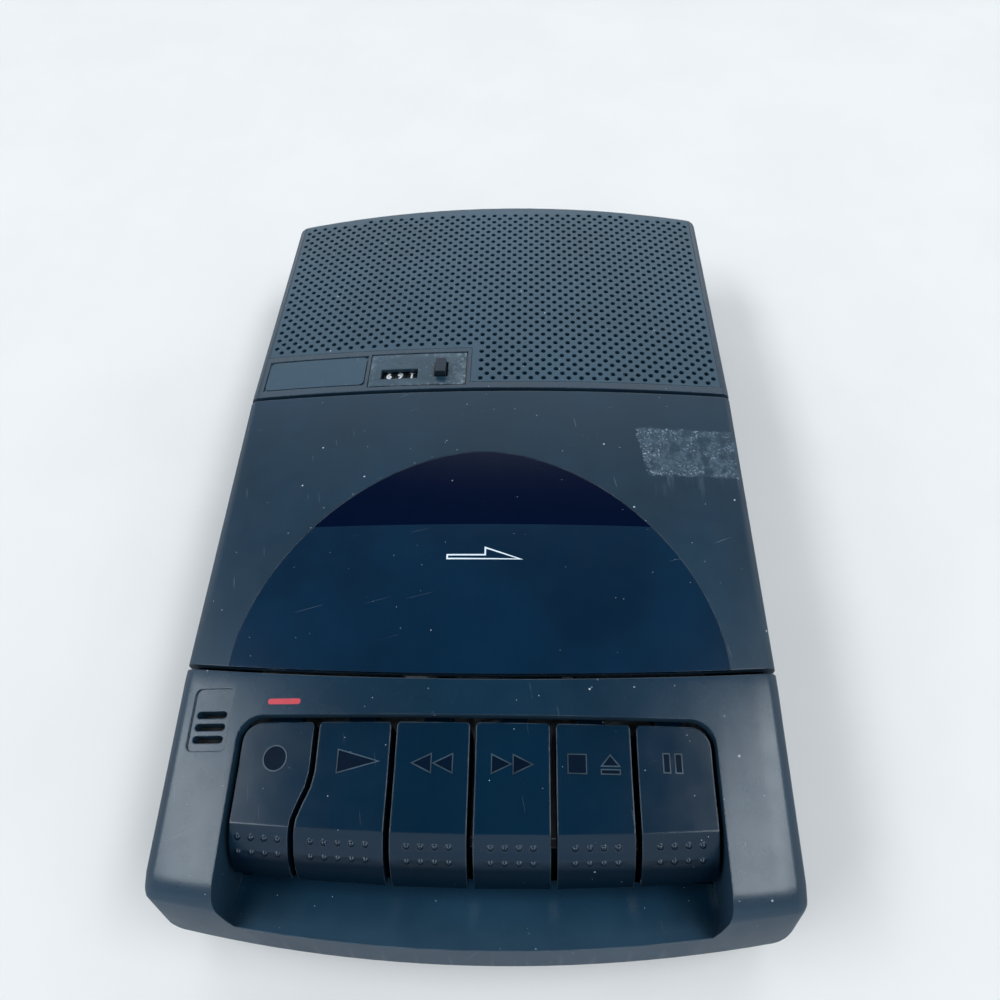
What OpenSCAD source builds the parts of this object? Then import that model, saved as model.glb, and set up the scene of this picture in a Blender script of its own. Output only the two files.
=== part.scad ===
// Portable cassette recorder, flat desk type with piano keys
// X right, Y towards the speaker, Z up, millimetres, origin under the middle of the case

/* [Body] */
// Width across the sides
body_w = 153; // [150:1:160]
// Depth from the middle of the front lip to the middle of the rear edge
body_d = 252; // [250:1:260]
// Height of the lid's middle above the table
lid_top = 52; // [51:0.5:56]
// Height of the rubber feet below the base
foot_h = 1.5; // [1:0.1:2.5]
// Wall of both case halves
wall = 2.2; // [1.8:0.1:2.6]
// Thickness of the top case's roof
roof_t = 3.4; // [3:0.1:4]
// Height of the parting line between the case halves
parting_z = 24; // [22:0.5:25]
// Drop of the roof from its middle to its side edges
crown_sag = 4.4; // [3:0.1:5]
// Bow of the rear edge in plan
rear_bow = 4.4; // [3:0.1:6]
// Bow of the front edge in plan
front_bow = 7; // [5:0.1:8]
// Radius along the top side edges
edge_r = 3.2; // [2:0.1:3.4]
// Radius of the roll from the key deck to the front
roll_r = 9; // [7:0.5:11]
// Radius of the roll over the rear edge
rear_roll_r = 4; // [2:0.5:5]
// Rear corner radius in plan
rear_corner_r = 6; // [4:0.5:9]
// Front corner radius in plan
front_corner_r = 5.5; // [4:0.5:9]
// Fall of the speaker panel towards the rear, degrees
rear_tilt = 4.5; // [3:0.1:5]
// Fall of the key deck towards the front, degrees
deck_tilt = 4.5; // [3:0.1:6]
// Lean of the front face from upright, degrees
front_lean = 16; // [10:1:20]
// Fixed joint clearance between pieces that seat in each other
fit_gap = 0.12; // [0.08:0.01:0.2]
// Clearance round pieces that move
run_gap = 0.4; // [0.3:0.05:0.5]
// Radial clearance of a shaft in its hole
shaft_gap = 0.05; // [0.03:0.01:0.08]

/* [Speaker panel] */
// Diameter of a grille hole
hole_d = 1.6; // [1.2:0.1:1.7]
// Distance between holes along a row
hole_pitch = 4; // [3.8:0.1:4.4]
// Thickness of the perforated panel
panel_t = 1.8; // [1.5:0.1:2.2]
// Border of the top case round the perforated panel
panel_border = 2.6; // [2.2:0.1:3.2]
// Width of the ledge that carries the panel
ledge_w = 2.5; // [2:0.1:3]
// Outer diameter of the speaker's basket
speaker_d = 66; // [57:1:68]
// Depth of the counter's plain field behind the lid
counter_field = 15.4; // [14:0.2:15.6]
// Diameter of a counter wheel
counter_d = 9; // [8:0.1:9.4]
// Thickness of the roof that is left over the counter wheels
counter_cover = 1; // [0.8:0.1:1.2]
// Width of a counter wheel
counter_wheel_w = 3.4; // [3:0.1:3.6]

/* [Lid] */
// Length of the lid along its middle
lid_len = 90.7; // [89:0.1:92]
// Bow of the lid's front edge
lid_bow = 3.5; // [2:0.1:4.5]
// Wall of the lid
lid_t = 2.6; // [2.3:0.1:3]
// Height of the lid's side skirts below the lid's side edges
lid_skirt = 7.5; // [6:0.1:9]
// Gap round the lid
lid_gap = 1.4; // [1.2:0.1:1.6]
// Half width of the window's arch at the lid's front edge
arch_w = 64.3; // [60:0.1:66]
// Height of the window's arch
arch_h = 64.2; // [60:0.1:66]
// Fullness of the arch, 2 is a half ellipse
arch_power = 1.8; // [1.6:0.05:2.2]
// Thickness of the window
window_t = 1.2; // [1:0.1:1.5]
// Seat of the window round the clear opening
window_seat = 2.5; // [2:0.1:4]
// Distance of the printed area's upper edge from the arch's foot
print_h = 39.5; // [36:0.5:42]

/* [Keys] */
// Land between the key well and the body's side
key_land = 17.6; // [17:0.1:19]
// Gap between two keys
key_gap = 1.5; // [1:0.1:2]
// Gap between the outer keys and the well
key_side_gap = 1.15; // [0.8:0.05:1.5]
// Wall of a key's shell
key_wall = 1.6; // [1.3:0.1:2]
// Travel of a key, degrees
key_press = 6; // [4:0.5:6]
// Diameter of the rod that the keys turn on
axle_d = 4; // [3:0.1:4.4]
// Sideways step of the gap between the record and play keys
key_step = 3.4; // [2:0.1:4]
// Diameter of a grip dot on a key's front
dot_d = 1.5; // [1.2:0.1:1.8]
// Height of a grip dot
dot_h = 0.45; // [0.3:0.05:0.6]
// Distance between two grip dots
dot_pitch = 3.3; // [3:0.1:3.6]
// Radius of the well's rear corners in plan
well_corner_r = 6; // [3:0.5:8]
// Radius of the scoop's front corners in plan
scoop_corner_r = 6; // [3:0.5:8]
// Radius of the hollow of the finger scoop
scoop_r = 19; // [15:0.5:22]

/* [Cassette deck] */
// Height of the deck plate's underside
deck_z = 28.5; // [27.5:0.5:29]
// Thickness of the deck plate
deck_t = 1.5; // [1.2:0.1:2]
// Distance between the two reel spindles
spindle_gap = 42.5; // [42:0.1:43]
// Width of a cassette
cassette_w = 100.4; // [100:0.1:101.5]
// Height of a cassette's underside above the deck plate
cassette_lift = 4; // [4:0.1:4.5]
// Diameter of the capstan
capstan_d = 2.4; // [2:0.1:2.6]
// Diameter of the flywheel
flywheel_d = 50; // [44:1:52]
// Diameter of the motor
motor_d = 30; // [26:1:31]
// Travel of the heads towards the tape
head_travel = 3; // [2:0.1:3.5]
// Diameter of the pinch roller
pinch_d = 10; // [9:0.1:11]

/* [Power and controls] */
// Diameter of a battery cell's place
cell_d = 14.8; // [14.6:0.1:15]
// Length of a battery cell's place with its contacts
cell_l = 57; // [56:0.5:58]
// Diameter of the volume wheel
volume_d = 19; // [17:0.5:20]
// Bore of the two sound jacks
jack_d = 3.6; // [3.5:0.05:3.7]
// Bore of the power jack
dc_d = 5.6; // [5.5:0.1:6]
// Travel of the carrying handle
handle_travel = 28; // [20:1:28]
// Depth of the recess that the handle sits in
handle_recess = 14; // [13:0.5:15]

/* [Hidden] */
$fn = 48;
// Slack of a cutting tool past the face that it cuts
over = 1;
// Long enough to pass through the whole body
reach = 400;
half_w = body_w / 2;
front_y = -body_d / 2;
rear_y = body_d / 2;
crown_k = crown_sag / pow(half_w, 2);
rear_r = (pow(half_w, 2) + pow(rear_bow, 2)) / (2 * rear_bow);
front_r = (pow(half_w, 2) + pow(front_bow, 2)) / (2 * front_bow);
front_k = 1 / (2 * front_r);
rear_k = 1 / (2 * rear_r);
front_tilt = 90 - front_lean;
// Strips of the crown: the edges fall between the grille's columns
strip_w = 2 * hole_pitch;
strip_first = 1.25 * hole_pitch;

// Lines across the body, from the front
well_y = front_y + 52.5;
lid_y0 = front_y + 62.6;
lid_y1 = lid_y0 + lid_len;
panel_y = lid_y1 + lid_gap;
deck_y = lid_y0 - lid_gap;
lid_r = (pow(half_w, 2) + pow(lid_bow, 2)) / (2 * lid_bow);
side_top = lid_top - crown_sag - edge_r;
skirt_z = side_top - lid_skirt + edge_r;

// Height of the roof over a point of the plan
function roof_z(x, y) = lid_top - crown_k * x * x
    - max(0, y - panel_y) * tan(rear_tilt) - max(0, deck_y - y) * tan(deck_tilt);

// Points of a round arc
function arc(cx, cy, r, a0, a1, n) = [for (i = [0:n]) let (a = a0 + (a1 - a0) * i / n)
    [cx + r * cos(a), cy + r * sin(a)]];

// Plan of the body, drawn in by an inset
function plan_points(inset) =
    let (
        h = half_w - inset,
        rf = front_r - inset,
        rr = rear_r - inset,
        cf = max(front_corner_r - inset, 0.8),
        cr = max(rear_corner_r - inset, 0.8),
        front_c = front_y + front_r,
        rear_c = rear_y - rear_r,
        fa = asin((h - cf) / (rf - cf)),
        ra = asin((h - cr) / (rr - cr)),
        fy = front_c - (rf - cf) * cos(fa),
        ry = rear_c + (rr - cr) * cos(ra)
    )
    concat(
        arc(0, front_c, rf, 270 - fa, 270 + fa, 24),
        arc(h - cf, fy, cf, 270 + fa, 360, 6),
        arc(h - cr, ry, cr, 0, 90 - ra, 6),
        arc(0, rear_c, rr, 90 - ra, 90 + ra, 24),
        arc(cr - h, ry, cr, 90 + ra, 180, 6),
        arc(cf - h, fy, cf, 180, 270 - fa, 6)
    );

module plan_slab(inset, z0, z1)
    translate([0, 0, z0]) linear_extrude(z1 - z0) polygon(plan_points(inset));

// Cross-section under the crown, with rounded side edges
function crown_points(k, inset) =
    let (
        h = half_w - inset,
        r = max(edge_r - inset, 0.8),
        last = h - r,
        half_top = concat([for (x = [strip_first : strip_w : last - 1]) x], [last]),
        n = len(half_top),
        zs = -k * last * last - r
    )
    concat(
        [for (i = [n - 1 : -1 : 0]) [-half_top[i], -k * pow(half_top[i], 2)]],
        [for (i = [0 : n - 1]) [half_top[i], -k * pow(half_top[i], 2)]],
        [for (a = [67.5 : -22.5 : 0]) [last + r * cos(a), zs + r * sin(a)]],
        [[h, -reach], [-h, -reach]],
        [for (a = [180 : -22.5 : 112.5]) [-last + r * cos(a), zs + r * sin(a)]]
    );

// Everything under a crowned face that passes through a point at a tilt
module under_crown(tilt, y, z, k, inset = 0)
    translate([0, y, z]) rotate([tilt, 0, 0]) rotate([90, 0, 0])
        linear_extrude(3 * reach, center = true) polygon(crown_points(k, inset));

// Everything under the roof: speaker panel, lid and key deck, lowered by a drop
module under_roof(drop = 0, inset = 0) intersection() {
    under_crown(-rear_tilt, panel_y, lid_top - drop, crown_k, inset);
    under_crown(0, panel_y, lid_top - drop, crown_k, inset);
    under_crown(deck_tilt, deck_y, lid_top - drop, crown_k, inset);
}

// Centre of the roll between the key deck and the leaning front face
deck_d = (deck_y * sin(deck_tilt) - lid_top * cos(deck_tilt)) + roll_r;
face_d = (front_y * sin(front_tilt) - parting_z * cos(front_tilt)) + roll_r;
roll_det = sin(front_tilt - deck_tilt);
roll_y = (deck_d * -cos(front_tilt) + face_d * cos(deck_tilt)) / roll_det;
roll_z = (sin(deck_tilt) * face_d - sin(front_tilt) * deck_d) / roll_det;
rear_roll_y = rear_y - rear_roll_r;
rear_roll_z = lid_top - (rear_roll_y - panel_y) * tan(rear_tilt) - rear_roll_r / cos(rear_tilt);
function roll_k(t) = crown_k * cos(t) * (front_tilt - t) / (front_tilt - deck_tilt) + front_k * sin(t);

// Outer form of the top case
module outer_form() intersection() {
    plan_slab(0, parting_z, lid_top + over);
    under_roof();
    for_rolls();
}

module for_rolls() intersection() {
    under_crown(front_tilt, front_y, parting_z, roll_k(front_tilt));
    front_facet(0.2);
    front_facet(0.4);
    front_facet(0.6);
    front_facet(0.8);
    rear_facet(30);
    rear_facet(60);
}

module front_facet(share) {
    t = deck_tilt + (front_tilt - deck_tilt) * share;
    under_crown(t, roll_y - roll_r * sin(t), roll_z + roll_r * cos(t), roll_k(t));
}

module rear_facet(t)
    under_crown(-t, rear_roll_y + rear_roll_r * sin(t), rear_roll_z + rear_roll_r * cos(t),
        crown_k * cos(t) + rear_k * sin(t));

module box(x0, x1, y0, y1, z0, z1)
    translate([x0, y0, z0]) cube([x1 - x0, y1 - y0, z1 - z0]);

module both_sides() {
    children();
    mirror([1, 0, 0]) children();
}

module rod(x, y, z0, z1, d)
    translate([x, y, z0]) cylinder(d = d, h = z1 - z0);

module rod_x(x0, x1, y, z, d)
    translate([x0, y, z]) rotate([0, 90, 0]) cylinder(d = d, h = x1 - x0);

// Slab of a side profile, given as [y, z] points
module profile_x(x0, x1, points)
    translate([x0, 0, 0]) rotate([90, 0, 90]) linear_extrude(x1 - x0) polygon(points);

// Band of a given width along a bent path
function unit(v) = v / norm(v);
function side_of(v) = [-v[1], v[0]];
function mitre(p, i) =
    let (
        n = len(p) - 1,
        a = unit(i == 0 ? p[1] - p[0] : p[i] - p[i - 1]),
        b = unit(i == n ? p[n] - p[n - 1] : p[i + 1] - p[i]),
        m = unit(side_of(a) + side_of(b))
    )
    m / (m * side_of(a));
function band(p, w) = concat(
    [for (i = [0 : len(p) - 1]) p[i] + mitre(p, i) * w / 2],
    [for (i = [len(p) - 1 : -1 : 0]) p[i] - mitre(p, i) * w / 2]
);

// Places of the main pieces

deck_top = deck_z + deck_t;
deck_rear_y = lid_y1 - 8;
axle_y = well_y + 5.5;
axle_z = deck_z + 10.5;
key_n = 6;
well_half = half_w - key_land;
key_pitch = (2 * (well_half - key_side_gap) + key_gap) / key_n;
key_w = key_pitch - key_gap;
axle_end = 3.1;
deck_half = well_half + axle_end;
key_rear_y = well_y - 1.5;
ridge_y = front_y + 26;
key_front_y = front_y + 15.6;
key_bow_k = 0.0006;
key_low_z = deck_z + 2.5 + (axle_y - key_front_y) * sin(key_press);
key_sink = 1.3;
arm_half = 3.5;
comb_y = well_y - 21;
comb_t = 0.5;
scoop_y = front_y + 18.5;
scoop_z = parting_z + 2;
scoop_slope = 55;
lip_back = 2.6;
tape_y = lid_y0 + 9.4;
head_y = tape_y + 2.2 - head_travel;
slide_lift = 0.3;
slide_t = 1.2;
spindle_y = tape_y + 34.8;
spindle_x = spindle_gap / 2;
spindle_h = 8.2;
spindle_pin_d = 2.4;
guide_x = 33;
capstan_x = 22.6;
capstan_y = tape_y + 7.6;
pinch_pivot = [40, tape_y - 7];
pinch_place = [22.9, tape_y - 1.6];
pinch_pin_d = 3;
roller_pin_d = 2;
bearing_d = 6.6;
thrust_d = 6;
thrust_gap = 1.4;
groove_t = 1;
motor_shaft_d = 2;
cassette_z = deck_top + cassette_lift;
rail_x = cassette_w / 2 + 0.5;
rail_t = 1.6;
rail_lip = 1.6;
eject_x = 1.5 * key_pitch - 5.75;
catch_z = cassette_z + 8;

// Lid hinge

hinge_x = half_w - 14.5;
hinge_y = lid_y1 + 21.7;
hinge_z = lid_top - 10;
hinge_d = 3;
hinge_barrel_d = 6.4;
arm_w = 4;
arm_band = 4.4;
ear_t = 1.8;
ear_gap = arm_w / 2 + run_gap;
pin_half = ear_gap + ear_t + over;
skirt_half = hinge_x - ear_gap - ear_t - over;
skirt_t = 1.8;

// Case furniture

floor_z = foot_h + wall;
base_step = 1.2;
foot_d = 10;
foot_seat = 0.5;
foot_x = half_w - 8;
foot_front_y = front_y + 14;
foot_rear_y = rear_y - 13;
boss_x = half_w - 7;
boss_rear_y = rear_y - 27;
boss_front_y = front_y + 27;
boss_d = 6.4;
case_screw_d = 2.4;
case_screw_grip = 9;
screw_head_d = 4.6;
screw_head_h = 1.5;
deck_screw_d = 2.2;
deck_screw_l = 7;
post_d = 8;
post_rear_x = deck_half - 12;
post_front_x = deck_half - 8;
post_rear_y = lid_y1 - 13;
post_front_y = well_y + 11;
post_places = [
    [-post_rear_x, post_rear_y], [post_rear_x, post_rear_y],
    [-post_front_x, post_front_y], [post_front_x, post_front_y]
];
recess_t = 0.5;

// Speaker and counter

speaker_x = 20;
speaker_y = rear_y - 50;
speaker_t = 1.6;
speaker_z = roof_z(speaker_x + speaker_d / 2, speaker_y + speaker_d / 2) - roof_t - speaker_t - 1;
speaker_ear_r = speaker_d / 2 + 3;
basket_h = 8.2;
basket_t = 1.2;
basket_lip = 4;
magnet_d = 36;
magnet_gap = 0.6;
cone_r = speaker_d / 2 - 4.4;
cone_h = basket_h - 1.4;
cone_t = 1;
surround_w = 3.6;
surround_h = 0.7;
dome_r = 10;
dome_h = 3;
counter_x = -28.2;
counter_y = panel_y + 7;
counter_w = 12;
counter_slot = 4.2;
counter_z = roof_z(counter_x, counter_y) - recess_t - counter_cover - run_gap - counter_d / 2;
counter_pitch = counter_wheel_w + 0.3;
counter_half = 1.5 * counter_pitch + run_gap;
counter_pin_d = 2;
frame_t = 1.2;
label_x0 = 3.8 - half_w;
label_x1 = -39.2;
plate_x0 = -38.2;
plate_x1 = -6.4;
reset_x = -14.7;
reset_y = panel_y + 8.5;
reset_w = 3.2;
reset_l = 5.6;
reset_h = 2.4;

// Microphone behind its slots

mic_x = 10 - half_w;
mic_y0 = well_y - 2.8;
mic_slot_l = 8;
mic_slot_w = 1.8;
mic_slot_pitch = 3;
mic_plaque_w = 10.4;
mic_plaque_l = 15.4;
mic_plaque_r = 1.6;
mic_plaque_shift = 1.8;
mic_capsule_d = 9.6;
mic_capsule_h = 6;
mic_z = roof_z(mic_x - mic_capsule_d / 2, mic_y0 - mic_capsule_d / 2) - roof_t - mic_capsule_h - 0.3;

// Board, motor and controls

board_z = floor_z + 1.5;
board_t = 1.6;
board_y0 = front_y + 33;
board_y1 = lid_y1 + 3;
board_foot_places = [[-68, board_y0 + 5], [-68, board_y1 - 5], [30, board_y0 + 5], [30, board_y1 - 5]];
wheel_z = foot_h + 7.5;
wheel_h = 5;
motor_x = -40;
motor_y = lid_y1 - 39.5;
pulley_d = 9;
belt_w = 1.2;
jack_z = board_z + board_t + 4.5;
jack_neck_d = 6.8;
dc_neck_d = 8.4;
mic_y = lid_y1 - 37;
ear_y = mic_y + 15;
dc_y = ear_y + 17;
volume_y = mic_y - 21;
volume_x = half_w - 0.5 - volume_d / 2;
volume_z = board_z + board_t + 9;
volume_h = 4;
volume_pin_d = 4;
volume_slot = 13;
scallop_r = 20;
scallop_t = 1.4;

// Battery bay and handle

bay_wall = 1.6;
bay_x0 = 14.5 - half_w;
bay_x1 = bay_x0 + 4 * cell_d + 0.8;
bay_y1 = rear_y - 8.5;
bay_y0 = bay_y1 - cell_l;
bay_z = foot_h + cell_d + 2.2;
door_t = 1.8;
door_rim = 1;
grip_start = 4;
grip_w = 1.2;
grip_inset = 12;
contact_w = 8;
contact_t = 0.5;
handle_z0 = parting_z + 2.4;
handle_x = half_w - 11;
handle_cover = 3.5;
handle_z1 = roof_z(handle_x, rear_y) - handle_cover;
handle_stop_l = 4;
handle_stop_w = 2;
handle_bar_t = 6;
handle_arm_w = 4;
handle_arm_x = handle_x - handle_arm_w - run_gap;
arm_inset = 2;
guide_y = rear_y - 42;
guide_l = 7;
guide_wall = 1.6;

case_color = "#39454f";
dark_color = "#20282f";
key_color = "#1c252d";
steel_color = "#b9bec4";

// Grille

panel_edge = panel_border + fit_gap;
counter_x1 = -5.2;

// Field of the perforated panel: inset from the sides, and its other edges moved by a step
module panel_field(inset, step) difference() {
    intersection() {
        plan_slab(inset, parting_z, lid_top + over);
        box(-half_w, half_w, panel_y + panel_border + step, rear_y + over, 0, reach);
    }
    box(-reach, counter_x1 + step, front_y, panel_y + panel_border + counter_field + step, 0, reach);
}

hole_row = hole_pitch / 2;
hole_y0 = panel_y + 4.3;
hole_edge = panel_edge + hole_d / 2 + 0.6;
function rear_line(x) = rear_y - rear_r + sqrt(pow(rear_r, 2) - x * x);
function hole_ok(x, y) =
    abs(x) < half_w - hole_edge
    && y < rear_line(x) - hole_edge - 1
    && (x > counter_x1 + hole_d || y > panel_y + panel_border + counter_field + hole_d);

module grille_holes() {
    rows = floor((rear_y - hole_y0) / hole_row);
    cols = floor(half_w / hole_pitch);
    for (j = [0 : rows], i = [-cols - 1 : cols]) {
        x = hole_pitch * i + (j % 2 == 0 ? hole_row : 0);
        y = hole_y0 + hole_row * j;
        if (hole_ok(x, y)) rod(x, y, parting_z, lid_top + over, hole_d);
    }
}

module speaker_grille() color(case_color) difference() {
    intersection() {
        panel_field(panel_edge, fit_gap);
        under_crown(-rear_tilt, panel_y, lid_top, crown_k);
        rear_facet(30);
    }
    under_crown(-rear_tilt, panel_y, lid_top - panel_t, crown_k, -over);
    grille_holes();
}

// Top case

// Room of the keys and of the finger scoop in front of them
module well_void() difference() {
    translate([0, 0, parting_z - over]) linear_extrude(lid_top - parting_z + 2 * over) polygon(well_plan());
    intersection() {
        union() {
            box(-reach, reach, -reach, reach, -reach, scoop_z);
            for (t = [5 : 10 : scoop_slope]) scoop_facet(t);
        }
        box(-reach, reach, -reach, scoop_y, -reach, reach);
    }
}

// One facet of the scoop's hollow, which follows the bow of the front edge
module scoop_facet(t)
    under_crown(-t, scoop_y - scoop_r * sin(t), scoop_z + scoop_r * (1 - cos(t)), -front_k * sin(t), -over);

function lip_line(x) = front_y + front_r - sqrt(pow(front_r, 2) - x * x) + lip_back;
function well_plan() =
    let (
        rw = well_corner_r,
        rs = scoop_corner_r,
        lip_x = well_half - rs,
        lip_y = lip_line(lip_x) + rs
    )
    concat(
        arc(well_half - rw, well_y - rw, rw, 0, 90, 6),
        arc(rw - well_half, well_y - rw, rw, 90, 180, 6),
        arc(-lip_x, lip_y, rs, 180, 270, 6),
        [for (s = [-0.9 : 0.1 : 0.9]) [lip_x * s, lip_line(lip_x * s)]],
        arc(lip_x, lip_y, rs, 270, 360, 6)
    );

// Everything in front of the lid's bowed front edge, moved forwards by a gap
module lid_front_block(gap) difference() {
    box(-reach, reach, front_y - reach, lid_y0 + lid_bow + over, -reach, reach);
    translate([0, lid_y0 + lid_r - gap, -2 * reach]) linear_extrude(4 * reach)
        polygon(concat(
            arc(0, 0, lid_r, 270 - lid_span, 270 + lid_span, 32),
            [[reach, reach], [-reach, reach]]
        ));
}
lid_span = asin((half_w + 10) / lid_r);

module lid_void() difference() {
    box(-half_w - over, half_w + over, deck_y - over, panel_y, skirt_z - run_gap, lid_top + over);
    lid_front_block(lid_gap);
}

module handle_room(grow) intersection() {
    difference() {
        plan_slab(-over, handle_z0 - grow, handle_z1 + grow);
        plan_slab(handle_recess + grow, handle_z0 - reach, handle_z1 + reach);
    }
    box(-handle_x - grow, handle_x + grow, guide_y, rear_y + reach, 0, reach);
}

module handle_arms(grow) both_sides()
    box(handle_arm_x - grow, handle_arm_x + handle_arm_w + grow, guide_y - handle_travel - over,
        rear_line(handle_x) - handle_bar_t + 2, handle_z0 + arm_inset - grow, handle_z1 - arm_inset + grow);

module handle_guides() both_sides()
    box(handle_arm_x - guide_wall, half_w - over, guide_y, guide_y + guide_l,
        handle_z0, handle_z1);

module case_bosses(z0, z1, d) for (s = [-1, 1], y = [boss_front_y, boss_rear_y])
    rod(s * boss_x, y, z0, z1, d);

module slot(l, w, h) linear_extrude(h) union() {
    square([l - w, w], center = true);
    for (s = [-1, 1]) translate([s * (l - w) / 2, 0]) circle(d = w);
}

module rounded(w, l, r, h) linear_extrude(h) union() {
    square([w - 2 * r, l], center = true);
    square([w, l - 2 * r], center = true);
    for (sx = [-1, 1], sy = [-1, 1]) translate([sx * (w / 2 - r), sy * (l / 2 - r)]) circle(r = r);
}

module mic_cuts() {
    for (i = [-1 : 1])
        translate([mic_x, mic_y0 + i * mic_slot_pitch, parting_z]) slot(mic_slot_l, mic_slot_w, lid_top);
    difference() {
        translate([mic_x, mic_y0 + mic_plaque_shift, parting_z])
            rounded(mic_plaque_w, mic_plaque_l, mic_plaque_r, lid_top);
        under_crown(deck_tilt, deck_y, lid_top - recess_t, crown_k, -over);
    }
}

module mic_holder() difference() {
    rod(mic_x, mic_y0, mic_z - 1, lid_top, mic_capsule_d + 2.4);
    rod(mic_x, mic_y0, 0, mic_z + mic_capsule_h + fit_gap, mic_capsule_d + 2 * fit_gap);
}

module counter_cuts() {
    box(counter_x - counter_w / 2, counter_x + counter_w / 2, counter_y - counter_slot / 2,
        counter_y + counter_slot / 2, counter_z, lid_top);
    reset_post(run_gap, counter_z, lid_top);
    intersection() {
        box(counter_x - counter_half, counter_x + counter_half, counter_y - counter_d / 2 - run_gap,
            counter_y + counter_d / 2 + run_gap, counter_z, lid_top);
        under_crown(-rear_tilt, panel_y, lid_top - recess_t - counter_cover, crown_k, -over);
    }
    difference() {
        union() {
            box(label_x0, label_x1, panel_y + 2.6, panel_y + 15.8, counter_z, lid_top + over);
            box(plate_x0, plate_x1, panel_y + 1.5, panel_y + 16.2, counter_z, lid_top + over);
        }
        under_crown(-rear_tilt, panel_y, lid_top - recess_t, crown_k, -over);
    }
}

module reset_post(grow, z0, z1)
    box(reset_x - reset_w / 2 - grow, reset_x + reset_w / 2 + grow, reset_y - reset_l / 2 - grow,
        reset_y + reset_l / 2 + grow, z0, z1);

// Ears that carry the lid's hinge pins, from the panel's front border backwards
module hinge_ears() both_sides() for (x = [hinge_x - ear_gap - ear_t, hinge_x + ear_gap])
    profile_x(x, x + ear_t, [
        [panel_y, lid_top], [panel_y, hinge_z + 1], [hinge_y - 5, hinge_z - 4], [hinge_y + 5, hinge_z - 4],
        [hinge_y + 5, lid_top]
    ]);

// Shell of the top case with the speaker opening
module top_shell() difference() {
    outer_form();
    intersection() {
        plan_slab(wall, parting_z - over, lid_top);
        under_roof(roof_t, wall);
        under_crown(front_tilt, front_y + wall / cos(front_lean), parting_z, roll_k(front_tilt), wall);
    }
    panel_field(panel_border + ledge_w, ledge_w);
}

module top_inside() intersection() {
    outer_form();
    union() {
        both_sides() box(well_half, well_half + wall, front_y - over, well_y, parting_z, lid_top);
        box(-well_half - wall, well_half + wall, front_y - over, scoop_y, parting_z, lid_top);
        handle_room(bay_wall);
        case_bosses(parting_z, lid_top, boss_d);
        mic_holder();
        hinge_ears();
        handle_guides();
        box(-skirt_half, skirt_half, panel_y, panel_y + skirt_t, cassette_z, lid_top);
    }
}

module top_case() color(case_color) difference() {
    union() {
        top_shell();
        top_inside();
    }
    well_void();
    lid_void();
    difference() {
        panel_field(panel_border, 0);
        under_crown(-rear_tilt, panel_y, lid_top - panel_t, crown_k, -over);
    }
    mic_cuts();
    counter_cuts();
    handle_room(0);
    handle_arms(run_gap);
    case_bosses(parting_z - over, parting_z + case_screw_grip, case_screw_d);
    both_sides() {
        rod_x(hinge_x - pin_half, hinge_x + pin_half, hinge_y, hinge_z, hinge_d + 2 * fit_gap);
        rod_x(hinge_x - ear_gap, hinge_x + ear_gap, hinge_y, hinge_z, hinge_barrel_d + 2 * run_gap);
    }
}

// Bottom case

module bay_room(grow, z0, z1) box(bay_x0 - grow, bay_x1 + grow, bay_y0 - grow, bay_y1 + grow, z0, z1);

module speaker_posts(z0, z1, d) for (a = [45 : 90 : 315])
    rod(speaker_x + speaker_ear_r * cos(a), speaker_y + speaker_ear_r * sin(a), z0, z1, d);

module deck_post_rods(z0, z1, d) for (p = post_places) rod(p[0], p[1], z0, z1, d);

module bottom_case() color(case_color) difference() {
    union() {
        difference() {
            union() {
                plan_slab(base_step, foot_h, foot_h + base_step);
                plan_slab(0, foot_h + base_step, parting_z);
            }
            plan_slab(wall + base_step, floor_z, parting_z + over);
            plan_slab(wall, floor_z + base_step, parting_z + over);
        }
        deck_post_rods(foot_h + over, deck_z, post_d);
        speaker_posts(foot_h + over, speaker_z, post_d);
        intersection() {
            case_bosses(foot_h + over, parting_z, boss_d + 1);
            plan_slab(over, 0, parting_z);
        }
        rod(capstan_x, capstan_y, foot_h + over, wheel_z - thrust_gap, thrust_d);
        board_feet();
        bay_room(bay_wall, foot_h, bay_z + bay_wall);
    }
    bay_room(0, foot_h - over, bay_z);
    bay_room(door_rim, foot_h - over, foot_h + door_t);
    deck_post_rods(deck_z - deck_screw_l - over, deck_z + over, deck_screw_d);
    speaker_posts(speaker_z - deck_screw_l - over, speaker_z + over, deck_screw_d);
    case_bosses(0, parting_z + over, case_screw_d + 2 * fit_gap);
    case_bosses(0, foot_h + screw_head_h + 0.4, screw_head_d + 0.6);
    feet_rods(0, foot_h + foot_seat, foot_d + 2 * fit_gap);
    box(half_w - 2 * wall, half_w + over, volume_y - volume_slot / 2, volume_y + volume_slot / 2,
        volume_z - run_gap, volume_z + volume_h + run_gap);
    rod(half_w + scallop_r - scallop_t, volume_y, volume_z - 4, volume_z + volume_h + 4, 2 * scallop_r);
    jack_hole(mic_y, jack_neck_d + 2 * fit_gap);
    jack_hole(ear_y, jack_neck_d + 2 * fit_gap);
    jack_hole(dc_y, dc_neck_d + 2 * fit_gap);
}

module jack_hole(y, d) rod_x(half_w - 2 * wall, half_w + over, y, jack_z, d);

module feet_rods(z0, z1, d) for (s = [-1, 1], y = [foot_front_y, foot_rear_y])
    rod(s * foot_x, y, z0, z1, d);

module board_feet() for (p = board_foot_places) rod(p[0], p[1], foot_h + over, board_z, 5);

module rubber_feet() color("#15181b") feet_rods(0, foot_h + foot_seat, foot_d);

module case_screws() color(steel_color) {
    case_bosses(foot_h + 0.3, foot_h + 0.3 + screw_head_h, screw_head_d);
    case_bosses(foot_h + 0.3 + screw_head_h, parting_z + case_screw_grip - over,
        case_screw_d - 2 * shaft_gap);
}

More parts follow.
